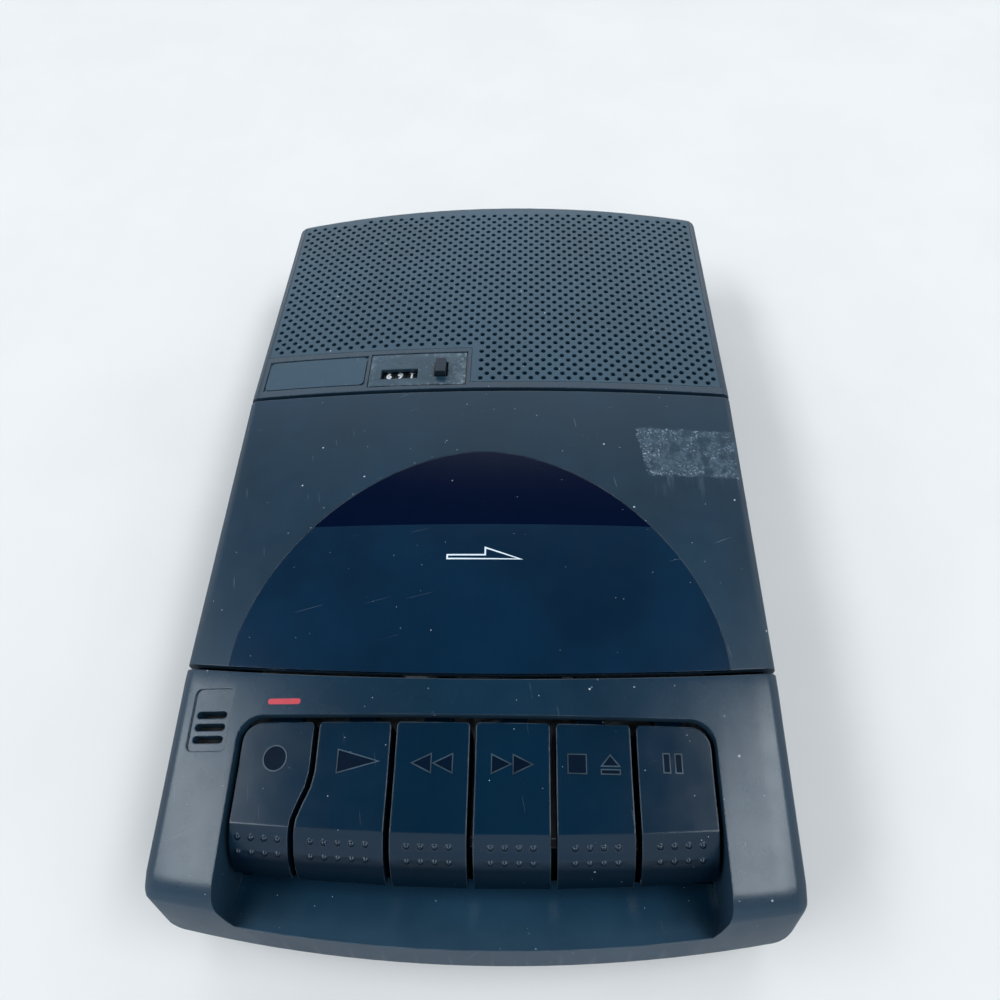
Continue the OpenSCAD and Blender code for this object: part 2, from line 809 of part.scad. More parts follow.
module deck_screws() color(steel_color) {
    deck_post_rods(deck_top, deck_top + screw_head_h, screw_head_d);
    deck_post_rods(deck_z - deck_screw_l, deck_top, deck_screw_d - 2 * shaft_gap);
}

module speaker_screws() color(steel_color) {
    speaker_posts(speaker_z + speaker_t, speaker_z + speaker_t + screw_head_h, screw_head_d);
    speaker_posts(speaker_z - deck_screw_l, speaker_z + speaker_t, deck_screw_d - 2 * shaft_gap);
}

module battery_door() color(case_color) difference() {
    bay_room(door_rim - run_gap, foot_h, foot_h + door_t - run_gap);
    for (i = [0 : 4]) translate([0, bay_y0 + grip_start + 2 * grip_w * i, 0])
        box(bay_x0 + grip_inset, bay_x1 - grip_inset, 0, grip_w, foot_h - over, foot_h + door_t / 3);
}

module battery_contacts() color(steel_color) for (i = [0 : 3]) {
    x = bay_x0 + 0.4 + cell_d * (i + 0.5);
    box(x - contact_w / 2, x + contact_w / 2, bay_y1 - contact_t, bay_y1, foot_h + door_t + 2, bay_z - 2);
    profile_x(x - contact_w / 2 + over, x + contact_w / 2 - over, band([
        [bay_y0 + 0.3, bay_z - 2], [bay_y0 + 0.3, foot_h + door_t + 4], [bay_y0 + 4, foot_h + door_t + 7]
    ], contact_t));
}

// Lid

// Outline of the window's arch, drawn in by an inset
function arch_points(inset) = concat(
    [[arch_w - inset, lid_y0 - over]],
    [for (i = [0 : 48]) let (
        a = 180 * i / 48,
        c = cos(a),
        s = sin(a)
    ) [(arch_w - inset) * sign(c) * pow(abs(c), 2 / arch_power),
       arch_y + (arch_h - inset) * pow(s, 2 / arch_power)]],
    [[inset - arch_w, lid_y0 - over]]
);
arch_y = lid_y0 + lid_bow;

module arch_block(inset) linear_extrude(reach) polygon(arch_points(inset));

module lid_form() difference() {
    intersection() {
        outer_form();
        box(-half_w - over, half_w + over, deck_y - lid_bow, lid_y1, skirt_z, lid_top + over);
    }
    lid_front_block(0);
}

// Gooseneck arm that passes under the panel's edge to the hinge pin
arm_path = [
    [hinge_y, hinge_z], [hinge_y - 8, hinge_z - 11], [hinge_y - 18, hinge_z - 14.5],
    [hinge_y - 24.4, hinge_z - 11], [hinge_y - 25.6, roof_z(hinge_x, lid_y1) - lid_t / 2]
];
module lid_arms() both_sides() {
    profile_x(hinge_x - arm_w / 2, hinge_x + arm_w / 2, band(arm_path, arm_band));
    rod_x(hinge_x - arm_w / 2, hinge_x + arm_w / 2, hinge_y, hinge_z, hinge_barrel_d);
}

module cassette_lid() color(dark_color) difference() {
    union() {
        difference() {
            lid_form();
            under_roof(lid_t, lid_t);
        }
        lid_arms();
        intersection() {
            box(eject_x - 3, eject_x + 3, lid_y0 + 5, lid_y0 + 6.6, catch_z + 0.8, lid_top);
            under_roof(lid_t / 2);
        }
    }
    difference() {
        arch_block(-fit_gap);
        under_roof(window_t);
    }
    intersection() {
        arch_block(window_seat);
        box(-reach, reach, arch_y + print_h, lid_y1, 0, reach);
    }
    both_sides() rod_x(hinge_x - pin_half, hinge_x + pin_half, hinge_y, hinge_z, hinge_d + 2 * shaft_gap);
}

module lid_window() color("#10151a") difference() {
    intersection() {
        arch_block(0);
        under_roof();
        box(-half_w, half_w, deck_y, lid_y1, parting_z, reach);
    }
    under_roof(window_t);
    lid_front_block(0);
}

module lid_hinge_pins() color(steel_color) both_sides()
    rod_x(hinge_x - ear_gap - ear_t, hinge_x + ear_gap + ear_t, hinge_y, hinge_z, hinge_d);

module cassette_holder() color(dark_color) intersection() {
    under_roof(lid_t);
    both_sides() {
        box(rail_x, rail_x + rail_t, spindle_y - 16, tape_y + 62, cassette_z - rail_lip, lid_top);
        box(rail_x - 2.5, rail_x + rail_t, spindle_y - 16, tape_y + 62, cassette_z - rail_lip,
            cassette_z - run_gap);
    }
}

// Keys

function key_x(i) = (i - (key_n - 1) / 2) * key_pitch;
function ease(t) = let (c = min(max(t, 0), 1)) c * c * (3 - 2 * c);
function step_at(y) = key_step * ease((ridge_y + 13 - y) / 12);

// Radius of a key's rear corner: the outer corners of the row follow the well
key_corner_r = 1;
function corner_r(outer) = outer ? well_corner_r - key_side_gap : key_corner_r;

// Plan of a key; a sway of 1 bends that side along the step between the first two keys
function key_plan(i, inset, sway_l, sway_r) =
    let (
        x0 = key_x(i) - key_w / 2 + inset,
        x1 = key_x(i) + key_w / 2 - inset,
        y1 = key_rear_y - inset,
        y0 = key_front_y - 8,
        rl = max(corner_r(i == 0) - inset, 0.2),
        rr = max(corner_r(i == key_n - 1) - inset, 0.2)
    )
    concat(
        arc(x0 + rl, y1 - rl, rl, 90, 180, 6),
        [for (s = [1 : 12]) let (y = y1 - rl + (y0 - y1 + rl) * s / 12) [x0 - sway_l * step_at(y), y]],
        [for (s = [12 : -1 : 1]) let (y = y1 - rr + (y0 - y1 + rr) * s / 12) [x1 - sway_r * step_at(y), y]],
        arc(x1 - rr, y1 - rr, rr, 0, 90, 6)
    );

// Side profile of a key about its ridge, drawn in by a wall
ridge_z = roof_z(0, ridge_y) - key_sink - 0.3;
key_rise = roof_z(0, key_rear_y) - key_sink - ridge_z;
key_len = key_rear_y - ridge_y;
key_nose = ridge_y - key_front_y;
key_drop = ridge_z - key_low_z;
// Slope of the rolled key front below the ridge and at its foot, degrees
roll_start = 18;
roll_end = 82;
key_roll_r = key_nose / (sin(roll_end) - sin(roll_start));
key_dish = 0.35;
key_past = key_len + 3;
function key_profile(w) =
    let (low = w > 0 ? -reach : -key_drop - over)
    concat(
        [[key_past, w > 0 ? -reach : axle_z - 2 - ridge_z], [key_past, key_rise * key_past / key_len - w],
         [key_len / 2, key_rise / 2 - key_dish - w]],
        arc(key_roll_r * sin(roll_start), -key_roll_r * cos(roll_start), key_roll_r - w,
            90 + roll_start, 90 + roll_end, 8),
        [[w - key_nose, low], [4 - key_nose, low]]
    );

// Places a form on the middle of a key's ridge
module on_ridge(i)
    translate([key_x(i), ridge_y + key_bow_k * pow(key_x(i), 2), ridge_z - crown_k * pow(key_x(i), 2)])
        rotate([0, atan(2 * crown_k * key_x(i)), atan(2 * key_bow_k * key_x(i))]) children();

module key_bar(i, w) on_ridge(i) profile_x(-key_pitch, key_pitch, key_profile(w));

// Two rows of grip dots on the rolled front, as caps of small balls
dot_rows = [roll_start + 12, roll_start + 26];
dot_ball_r = (pow(dot_d / 2, 2) + pow(dot_h, 2)) / (2 * dot_h);
dot_depth = key_roll_r + dot_h - dot_ball_r;
module key_dots(i, sway_l, sway_r) on_ridge(i) for (t = dot_rows, j = [0 : 3 + sway_l])
    translate([
        (j - (3 + sway_l) / 2) * dot_pitch - key_step * (sway_l + sway_r) / 2,
        key_roll_r * sin(roll_start) - dot_depth * sin(t), dot_depth * cos(t) - key_roll_r * cos(roll_start)
    ]) sphere(dot_ball_r, $fn = 24);

module key_block(i, inset, sway_l, sway_r, z0)
    translate([0, 0, z0]) linear_extrude(reach) polygon(key_plan(i, inset, sway_l, sway_r));

module key(i, sway_l = 0, sway_r = 0) color(key_color) difference() {
    union() {
        difference() {
            intersection() {
                key_bar(i, 0);
                key_block(i, 0, sway_l, sway_r, key_low_z);
            }
            intersection() {
                key_bar(i, key_wall);
                key_block(i, key_wall, sway_l, sway_r, key_low_z - over);
            }
        }
        key_dots(i, sway_l, sway_r);
        profile_x(key_x(i) - arm_half, key_x(i) + arm_half, [
            [axle_y, axle_z - 2.4], [axle_y, axle_z + 2.4], [key_rear_y - 1, axle_z + 3.4],
            [key_rear_y - 12, axle_z + 3.4], [key_rear_y - 12, axle_z - 1], [key_rear_y, axle_z - 1.6]
        ]);
        rod_x(key_x(i) - arm_half, key_x(i) + arm_half, axle_y, axle_z, axle_d + 3.6);
    }
    rod_x(key_x(i) - key_w, key_x(i) + key_w, axle_y, axle_z, axle_d + 2 * shaft_gap);
}

module rec_key() key(0, 0, 1);
module play_key() key(1, 1, 0);
module rewind_key() key(2);
module fast_forward_key() key(3);
module stop_eject_key() key(4);
module pause_key() key(5);

module key_axle() color(steel_color)
    rod_x(-deck_half, deck_half, axle_y, axle_z, axle_d);

module key_spring_comb() color(steel_color) {
    box(-well_half + 3, well_half - 3, comb_y - 4, comb_y, deck_top, deck_top + comb_t);
    for (i = [0 : key_n - 1])
        profile_x(key_x(i) - 2.5, key_x(i) + 2.5, band([
            [comb_y - 2, deck_top + comb_t / 2], [comb_y + 2, deck_top + comb_t / 2],
            [key_rear_y - 10, axle_z - 1.9]
        ], comb_t));
}

// Cassette deck

module deck_plate() color(steel_color) difference() {
    union() {
        box(-well_half + run_gap, well_half - run_gap, comb_y - 6, well_y + over, deck_z, deck_top);
        box(-deck_half, deck_half, well_y + run_gap, deck_rear_y, deck_z, deck_top);
        both_sides() box(deck_half - ear_t, deck_half, axle_y - 4.4, axle_y + 4.4, deck_z, axle_z + 4);
        box(-ear_t / 2, ear_t / 2, axle_y - 3, axle_y + 3, deck_z, axle_z + 3.4);
    }
    rod_x(-deck_half - over, deck_half + over, axle_y, axle_z, axle_d + 2 * fit_gap);
    rod(capstan_x, capstan_y, deck_z - over, deck_top + over, bearing_d + 2 * fit_gap);
    deck_post_rods(deck_z - over, deck_top + over, deck_screw_d + 0.4);
}

module deck_posts() color(steel_color) {
    for (s = [-1, 1]) {
        rod(s * spindle_x, spindle_y, deck_top, deck_top + spindle_h + 0.4, spindle_pin_d);
        rod(s * guide_x, tape_y + 10, deck_top, cassette_z, 4.6);
        rod(s * guide_x, tape_y + 10, cassette_z, cassette_z + 4, 2.6);
    }
    rod(pinch_pivot[0], pinch_pivot[1], deck_top, deck_top + 6, pinch_pin_d);
}

module reel_hub(x) color("#e4e6e6") translate([x, spindle_y, deck_top]) difference() {
    union() {
        rod(0, 0, run_gap, 2.4, 22);
        rod(0, 0, run_gap, spindle_h, 5.4);
        for (a = [0 : 120 : 240]) rotate([0, 0, a]) box(0, 3.9, -0.6, 0.6, 2, spindle_h - 0.6);
    }
    rod(0, 0, -over, spindle_h + over, spindle_pin_d + 2 * shaft_gap);
}

module supply_hub() reel_hub(-spindle_x);
module takeup_hub() reel_hub(spindle_x);

module head_slide() color(steel_color)
    box(-24, 12, head_y - 9.6, head_y - 1.2, deck_top + slide_lift, deck_top + slide_lift + slide_t);

module head(x, w, l, h) translate([x, head_y - l / 2, deck_top + slide_lift + slide_t])
    difference() {
        rounded(w, l, 2.4, h);
        box(-w / 2 + 2.6, w / 2 - 2.6, l / 2 - 0.3, l / 2 + over, h / 2 - 1, h / 2 + 1);
    }

module record_play_head() color("#d7dade") head(0, 12, 8.4, 12);
module erase_head() color("#2b2f33") head(-16, 8, 7, 11);

module pinch_arm() color(steel_color) difference() {
    union() {
        translate([0, 0, deck_top + 2.2]) linear_extrude(1.8) polygon(band([pinch_pivot, pinch_place], 5));
        rod(pinch_pivot[0], pinch_pivot[1], deck_top + 0.3, deck_top + 5, 7);
        rod(pinch_place[0], pinch_place[1], deck_top + 2.2, deck_top + 4, 6);
        rod(pinch_place[0], pinch_place[1], deck_top + 4, deck_top + 12, roller_pin_d);
    }
    rod(pinch_pivot[0], pinch_pivot[1], deck_z, deck_top + 9, pinch_pin_d + 2 * shaft_gap);
}

module pinch_roller() color("#17191b") difference() {
    rod(pinch_place[0], pinch_place[1], deck_top + 4.3, deck_top + 11.6, pinch_d);
    rod(pinch_place[0], pinch_place[1], deck_top, deck_top + 20, roller_pin_d + 2 * shaft_gap);
}

module capstan_shaft() color(steel_color)
    rod(capstan_x, capstan_y, wheel_z - thrust_gap + 0.3, deck_top + 14.5, capstan_d);

module grooved(x, y, d) difference() {
    rod(x, y, wheel_z, wheel_z + wheel_h, d);
    difference() {
        rod(x, y, wheel_z + wheel_h / 2 - belt_w, wheel_z + wheel_h / 2 + belt_w, d + over);
        rod(x, y, wheel_z, wheel_z + wheel_h, d - 2 * groove_t);
    }
}

module flywheel() color("#8f959b") difference() {
    grooved(capstan_x, capstan_y, flywheel_d);
    rod(capstan_x, capstan_y, 0, reach, capstan_d + 2 * shaft_gap);
}

module capstan_bearing() color("#b08a45") difference() {
    union() {
        rod(capstan_x, capstan_y, wheel_z + wheel_h + 0.5, deck_top, bearing_d);
        rod(capstan_x, capstan_y, deck_top, deck_top + 1.5, bearing_d + 4);
    }
    rod(capstan_x, capstan_y, 0, reach, capstan_d + 2 * shaft_gap);
}

module motor() color("#9aa0a6") difference() {
    union() {
        rod(motor_x, motor_y, wheel_z + wheel_h + 2, deck_z, motor_d);
        rod(motor_x, motor_y, wheel_z + wheel_h + 0.6, wheel_z + wheel_h + 2, 8);
    }
    rod(motor_x, motor_y, 0, wheel_z + wheel_h + 10, motor_shaft_d + 2 * shaft_gap);
}

module motor_pulley() color("#c9a45a") {
    grooved(motor_x, motor_y, pulley_d);
    rod(motor_x, motor_y, wheel_z + wheel_h, wheel_z + wheel_h + 9.6, motor_shaft_d);
}

// Loop round two circles
function loop_points(a, ra, b, rb) =
    let (
        v = b - a,
        base = atan2(v[1], v[0]),
        turn = acos((ra - rb) / norm(v))
    )
    concat(
        arc(b[0], b[1], rb, base - turn, base + turn, 40),
        arc(a[0], a[1], ra, base + turn, base + 360 - turn, 24)
    );

module belt_loop(grow) polygon(loop_points(
    [motor_x, motor_y], pulley_d / 2 - groove_t + grow,
    [capstan_x, capstan_y], flywheel_d / 2 - groove_t + grow
));

module drive_belt() color("#1b1d1f") translate([0, 0, wheel_z + wheel_h / 2 - belt_w / 2])
    linear_extrude(belt_w) difference() {
        belt_loop(0.1 + belt_w);
        belt_loop(0.1);
    }

module eject_slide() color(steel_color) {
    profile_x(eject_x - 1.5, eject_x + 1.5, [
        [axle_y - 4, deck_top + slide_lift], [lid_y0 + 2, deck_top + slide_lift], [lid_y0 + 2, catch_z],
        [lid_y0 + 4.4, catch_z], [lid_y0 + 2, catch_z + 2], [lid_y0, catch_z + 2],
        [lid_y0, deck_top + slide_lift + 1.5], [axle_y - 4, deck_top + slide_lift + 1.5]
    ]);
}

// Tape counter

module counter_frame() color(dark_color) difference() {
    intersection() {
        under_roof(roof_t + fit_gap);
        union() {
            for (x = [counter_x - counter_half - frame_t, counter_x + counter_half])
                box(x, x + frame_t, counter_y - 3.6, counter_y + 3.6, frame_z, lid_top);
            box(counter_x - counter_half - frame_t, reset_x + 4, counter_y - 3.6, counter_y + 3.6,
                frame_z - frame_t, frame_z);
        }
    }
    rod_x(counter_x - reach / 8, counter_x + reach / 8, counter_y, counter_z, counter_pin_d + 2 * fit_gap);
}
frame_z = counter_z - counter_d / 2 - 0.6;

module counter_shaft() color(steel_color)
    rod_x(counter_x - counter_half - frame_t, counter_x + counter_half + frame_t, counter_y, counter_z,
        counter_pin_d);

module counter_wheel(i) color("#0f1215") difference() {
    rod_x(counter_x + (i - 0.5) * counter_pitch - counter_wheel_w / 2 + counter_pitch / 2,
        counter_x + (i - 0.5) * counter_pitch + counter_wheel_w / 2 + counter_pitch / 2,
        counter_y, counter_z, counter_d);
    rod_x(counter_x - counter_w, counter_x + counter_w, counter_y, counter_z, counter_pin_d + 2 * shaft_gap);
}

module counter_hundreds() counter_wheel(-1);
module counter_tens() counter_wheel(0);
module counter_units() counter_wheel(1);

module reset_button() color(dark_color) {
    reset_post(0, reset_z - 1.2, roof_z(reset_x, reset_y) + reset_h);
    reset_post(1.4, reset_z - 1.2, reset_z);
}
reset_z = roof_z(reset_x, reset_y + reset_l) - roof_t - 0.3;

// Speaker

module about_speaker(z) translate([speaker_x, speaker_y, z]) children();

module speaker_basket() color("#6f757b") difference() {
    union() {
        about_speaker(speaker_z) cylinder(d = speaker_d, h = speaker_t);
        speaker_posts(speaker_z, speaker_z + speaker_t, post_d);
        about_speaker(speaker_z) rotate_extrude() polygon([
            [speaker_d / 2 - basket_lip, 0.1], [magnet_d / 2, -basket_h], [0, -basket_h],
            [0, -basket_h - basket_t], [magnet_d / 2 + 0.8, -basket_h - basket_t],
            [speaker_d / 2 - basket_lip + 1.6, 0.1]
        ]);
    }
    about_speaker(speaker_z - 0.05) cylinder(d = speaker_d - 2 * basket_lip, h = speaker_t + over);
    speaker_posts(speaker_z - over, speaker_z + speaker_t + over, deck_screw_d + 0.4);
}

// Underside of the cone with its surround and its dome
cone_line = [
    [cone_r, 0.5], [cone_r - surround_w / 2, 0.5 + surround_h], [cone_r - surround_w, 0.3], [dome_r, -cone_h],
    [0.7 * dome_r, 0.6 * dome_h - cone_h], [0, dome_h - cone_h]
];
module speaker_cone() color("#1d1f21") about_speaker(speaker_z) rotate_extrude() polygon(concat(
    cone_line, [for (i = [len(cone_line) - 1 : -1 : 0]) cone_line[i] + [0, cone_t]]
));

// The magnet ends a little above the battery bay
magnet_z = bay_z + bay_wall + magnet_gap;
module speaker_magnet() color("#53575b")
    about_speaker(magnet_z) cylinder(d = magnet_d, h = speaker_z - basket_h - basket_t - magnet_z);

// Electronics

module circuit_board() color("#2f5a3a") difference() {
    box(wall + 3 - half_w, half_w - wall - over, board_y0, board_y1, board_z, board_z + board_t);
    deck_post_rods(0, reach, post_d + 1);
    rod(capstan_x, capstan_y, 0, reach, thrust_d + 1);
}

module board_parts() color("#3a4a63") {
    for (i = [0 : 3]) rod(-62 + 9 * i, board_y0 + 12, board_z + board_t, board_z + board_t + 11, 6);
    for (i = [0 : 2]) rod(-60 + 12 * i, board_y0 + 22, board_z + board_t, board_z + board_t + 8, 8);
    box(-20, 0, board_y0 + 8, board_y0 + 15, board_z + board_t, board_z + board_t + 3.6);
}

module volume_pot() color("#50565c") {
    box(volume_x - 6, volume_x + 6, volume_y - 6, volume_y + 6, board_z + board_t, volume_z - 0.5);
    rod(volume_x, volume_y, volume_z - 0.5, volume_z + volume_h + 0.4, volume_pin_d);
}

knurls = 36;
module volume_wheel() color(dark_color) difference() {
    rod(volume_x, volume_y, volume_z, volume_z + volume_h, volume_d);
    rod(volume_x, volume_y, 0, reach, volume_pin_d + 2 * shaft_gap);
    for (i = [0 : knurls - 1]) translate([volume_x, volume_y, 0]) rotate([0, 0, 360 / knurls * i])
        rod(volume_d / 2 + 0.15, 0, 0, reach, 0.9);
}

module jack(y, bore, depth, neck, half) difference() {
    union() {
        box(half_w - 17, half_w - wall - 0.2, y - half, y + half, board_z + board_t, jack_z + half);
        rod_x(half_w - wall - 0.3, half_w - 0.2, y, jack_z, neck);
    }
    rod_x(half_w - depth, half_w + over, y, jack_z, bore);
}

module ear_jack() color("#1a1d20") jack(ear_y, jack_d, 14, jack_neck_d, 4.4);
module mic_jack() color("#1a1d20") jack(mic_y, jack_d, 14, jack_neck_d, 4.4);
module dc_jack() color("#1a1d20") {
    jack(dc_y, dc_d, 10, dc_neck_d, 4.6);
    rod_x(half_w - 10.2, half_w - 1.6, dc_y, jack_z, 1.4);
}

module mic_capsule() color("#8c9298") rod(mic_x, mic_y0, mic_z, mic_z + mic_capsule_h, mic_capsule_d);

// Carrying handle

module carry_handle() color(case_color) {
    intersection() {
        difference() {
            plan_slab(0, handle_z0 + run_gap, handle_z1 - run_gap);
            plan_slab(handle_bar_t, 0, reach);
        }
        box(run_gap - handle_x, handle_x - run_gap, guide_y, reach, 0, reach);
    }
    handle_arms(0);
    both_sides() box(handle_arm_x - handle_stop_w, handle_arm_x + handle_arm_w,
        guide_y - handle_travel - handle_stop_l, guide_y - handle_travel - run_gap,
        handle_z0 + arm_inset, handle_z1 - arm_inset);
}

bottom_case();
top_case();
speaker_grille();
cassette_lid();
lid_window();
cassette_holder();
lid_hinge_pins();
rec_key();
play_key();
rewind_key();
fast_forward_key();
stop_eject_key();
pause_key();
key_axle();
key_spring_comb();
deck_plate();
deck_posts();
head_slide();
record_play_head();
erase_head();
pinch_arm();
pinch_roller();
capstan_shaft();
flywheel();
capstan_bearing();
supply_hub();
takeup_hub();
motor();
motor_pulley();
drive_belt();
eject_slide();
counter_frame();
counter_shaft();
counter_units();
counter_tens();
counter_hundreds();
reset_button();
speaker_basket();
speaker_cone();
speaker_magnet();
circuit_board();
board_parts();
volume_pot();
volume_wheel();
ear_jack();
mic_jack();
dc_jack();
mic_capsule();
battery_door();
battery_contacts();
carry_handle();
rubber_feet();
case_screws();
deck_screws();
speaker_screws();
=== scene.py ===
"""Dresses the portable cassette recorder: finishes, key signs, prints, key springs, light and camera."""

from __future__ import annotations

import logging
import math
from dataclasses import dataclass, field
from enum import Enum
from typing import Any, Iterable

import bmesh
import bpy
from mathutils import Matrix, Vector
from mathutils.bvhtree import BVHTree

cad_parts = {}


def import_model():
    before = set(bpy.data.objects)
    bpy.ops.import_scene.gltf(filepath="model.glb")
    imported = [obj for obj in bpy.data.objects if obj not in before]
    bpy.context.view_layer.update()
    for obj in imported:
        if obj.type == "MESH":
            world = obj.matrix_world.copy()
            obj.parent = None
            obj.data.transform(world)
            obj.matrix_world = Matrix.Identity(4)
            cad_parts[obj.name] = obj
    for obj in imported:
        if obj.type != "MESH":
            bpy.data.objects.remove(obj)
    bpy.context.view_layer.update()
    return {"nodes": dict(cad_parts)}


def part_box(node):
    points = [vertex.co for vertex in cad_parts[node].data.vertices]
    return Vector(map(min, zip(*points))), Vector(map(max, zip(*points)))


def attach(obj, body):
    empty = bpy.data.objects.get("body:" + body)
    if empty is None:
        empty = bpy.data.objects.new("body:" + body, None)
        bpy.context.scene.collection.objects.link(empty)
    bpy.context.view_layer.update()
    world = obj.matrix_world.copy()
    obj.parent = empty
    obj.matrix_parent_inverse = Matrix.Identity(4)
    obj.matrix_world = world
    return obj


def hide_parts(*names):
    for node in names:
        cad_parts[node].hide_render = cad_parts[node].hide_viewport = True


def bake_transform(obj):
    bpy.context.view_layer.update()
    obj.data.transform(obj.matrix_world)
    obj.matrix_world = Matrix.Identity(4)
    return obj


LOG = logging.getLogger("recorder")
MM = 0.001

Colour = tuple[float, float, float]
Point = tuple[float, float]
Outline = list[Point]
Box = tuple[Point, Point]

BLACK: Colour = (0.0, 0.0, 0.0)
DUST: Colour = (0.5, 0.56, 0.62)
PLASTIC_IOR = 1.49
PRINT_MM = 0.03
WELD_MM = 0.002
KEY_PITCH_MM = 19.5
COUNTER_PLATE_MM: Box = ((-37.9, 30.6), (-6.8, 44.5))


class Flow:
    """A shader value that takes part in Python arithmetic."""

    def __init__(self, tree: bpy.types.NodeTree, socket: bpy.types.NodeSocket | None) -> None:
        """Keep the tree and the output socket that carries the value, if the node has one."""
        self.tree = tree
        self.socket = socket

    def _math(self, operation: str, *values: Flow | float) -> Flow:
        """Add one Math node.

        Args:
            operation: The node's operation.
            values: Its inputs in order, as flows or plain numbers.

        Returns:
            The node's result.
        """
        node = self.tree.nodes.new("ShaderNodeMath")
        node.operation = operation
        for socket, value in zip(node.inputs, values):
            if isinstance(value, Flow):
                self.tree.links.new(value.socket, socket)
            else:
                socket.default_value = value
        return Flow(self.tree, node.outputs[0])

    def __add__(self, other: Flow | float) -> Flow:
        """Sum of two values."""
        return self._math("ADD", self, other)

    __radd__ = __add__

    def __sub__(self, other: Flow | float) -> Flow:
        """Difference of two values."""
        return self._math("SUBTRACT", self, other)

    def __rsub__(self, other: float) -> Flow:
        """Difference of a number and this value."""
        return self._math("SUBTRACT", other, self)

    def __mul__(self, other: Flow | float) -> Flow:
        """Product of two values."""
        return self._math("MULTIPLY", self, other)

    def __truediv__(self, other: Flow | float) -> Flow:
        """Quotient of two values."""
        return self._math("DIVIDE", self, other)

    def __lt__(self, other: Flow | float) -> Flow:
        """1 where this value is smaller, else 0."""
        return self._math("LESS_THAN", self, other)

    def __abs__(self) -> Flow:
        """Size of this value without its sign."""
        return self._math("ABSOLUTE", self)

    def peak(self, other: Flow | float) -> Flow:
        """Larger of two values."""
        return self._math("MAXIMUM", self, other)


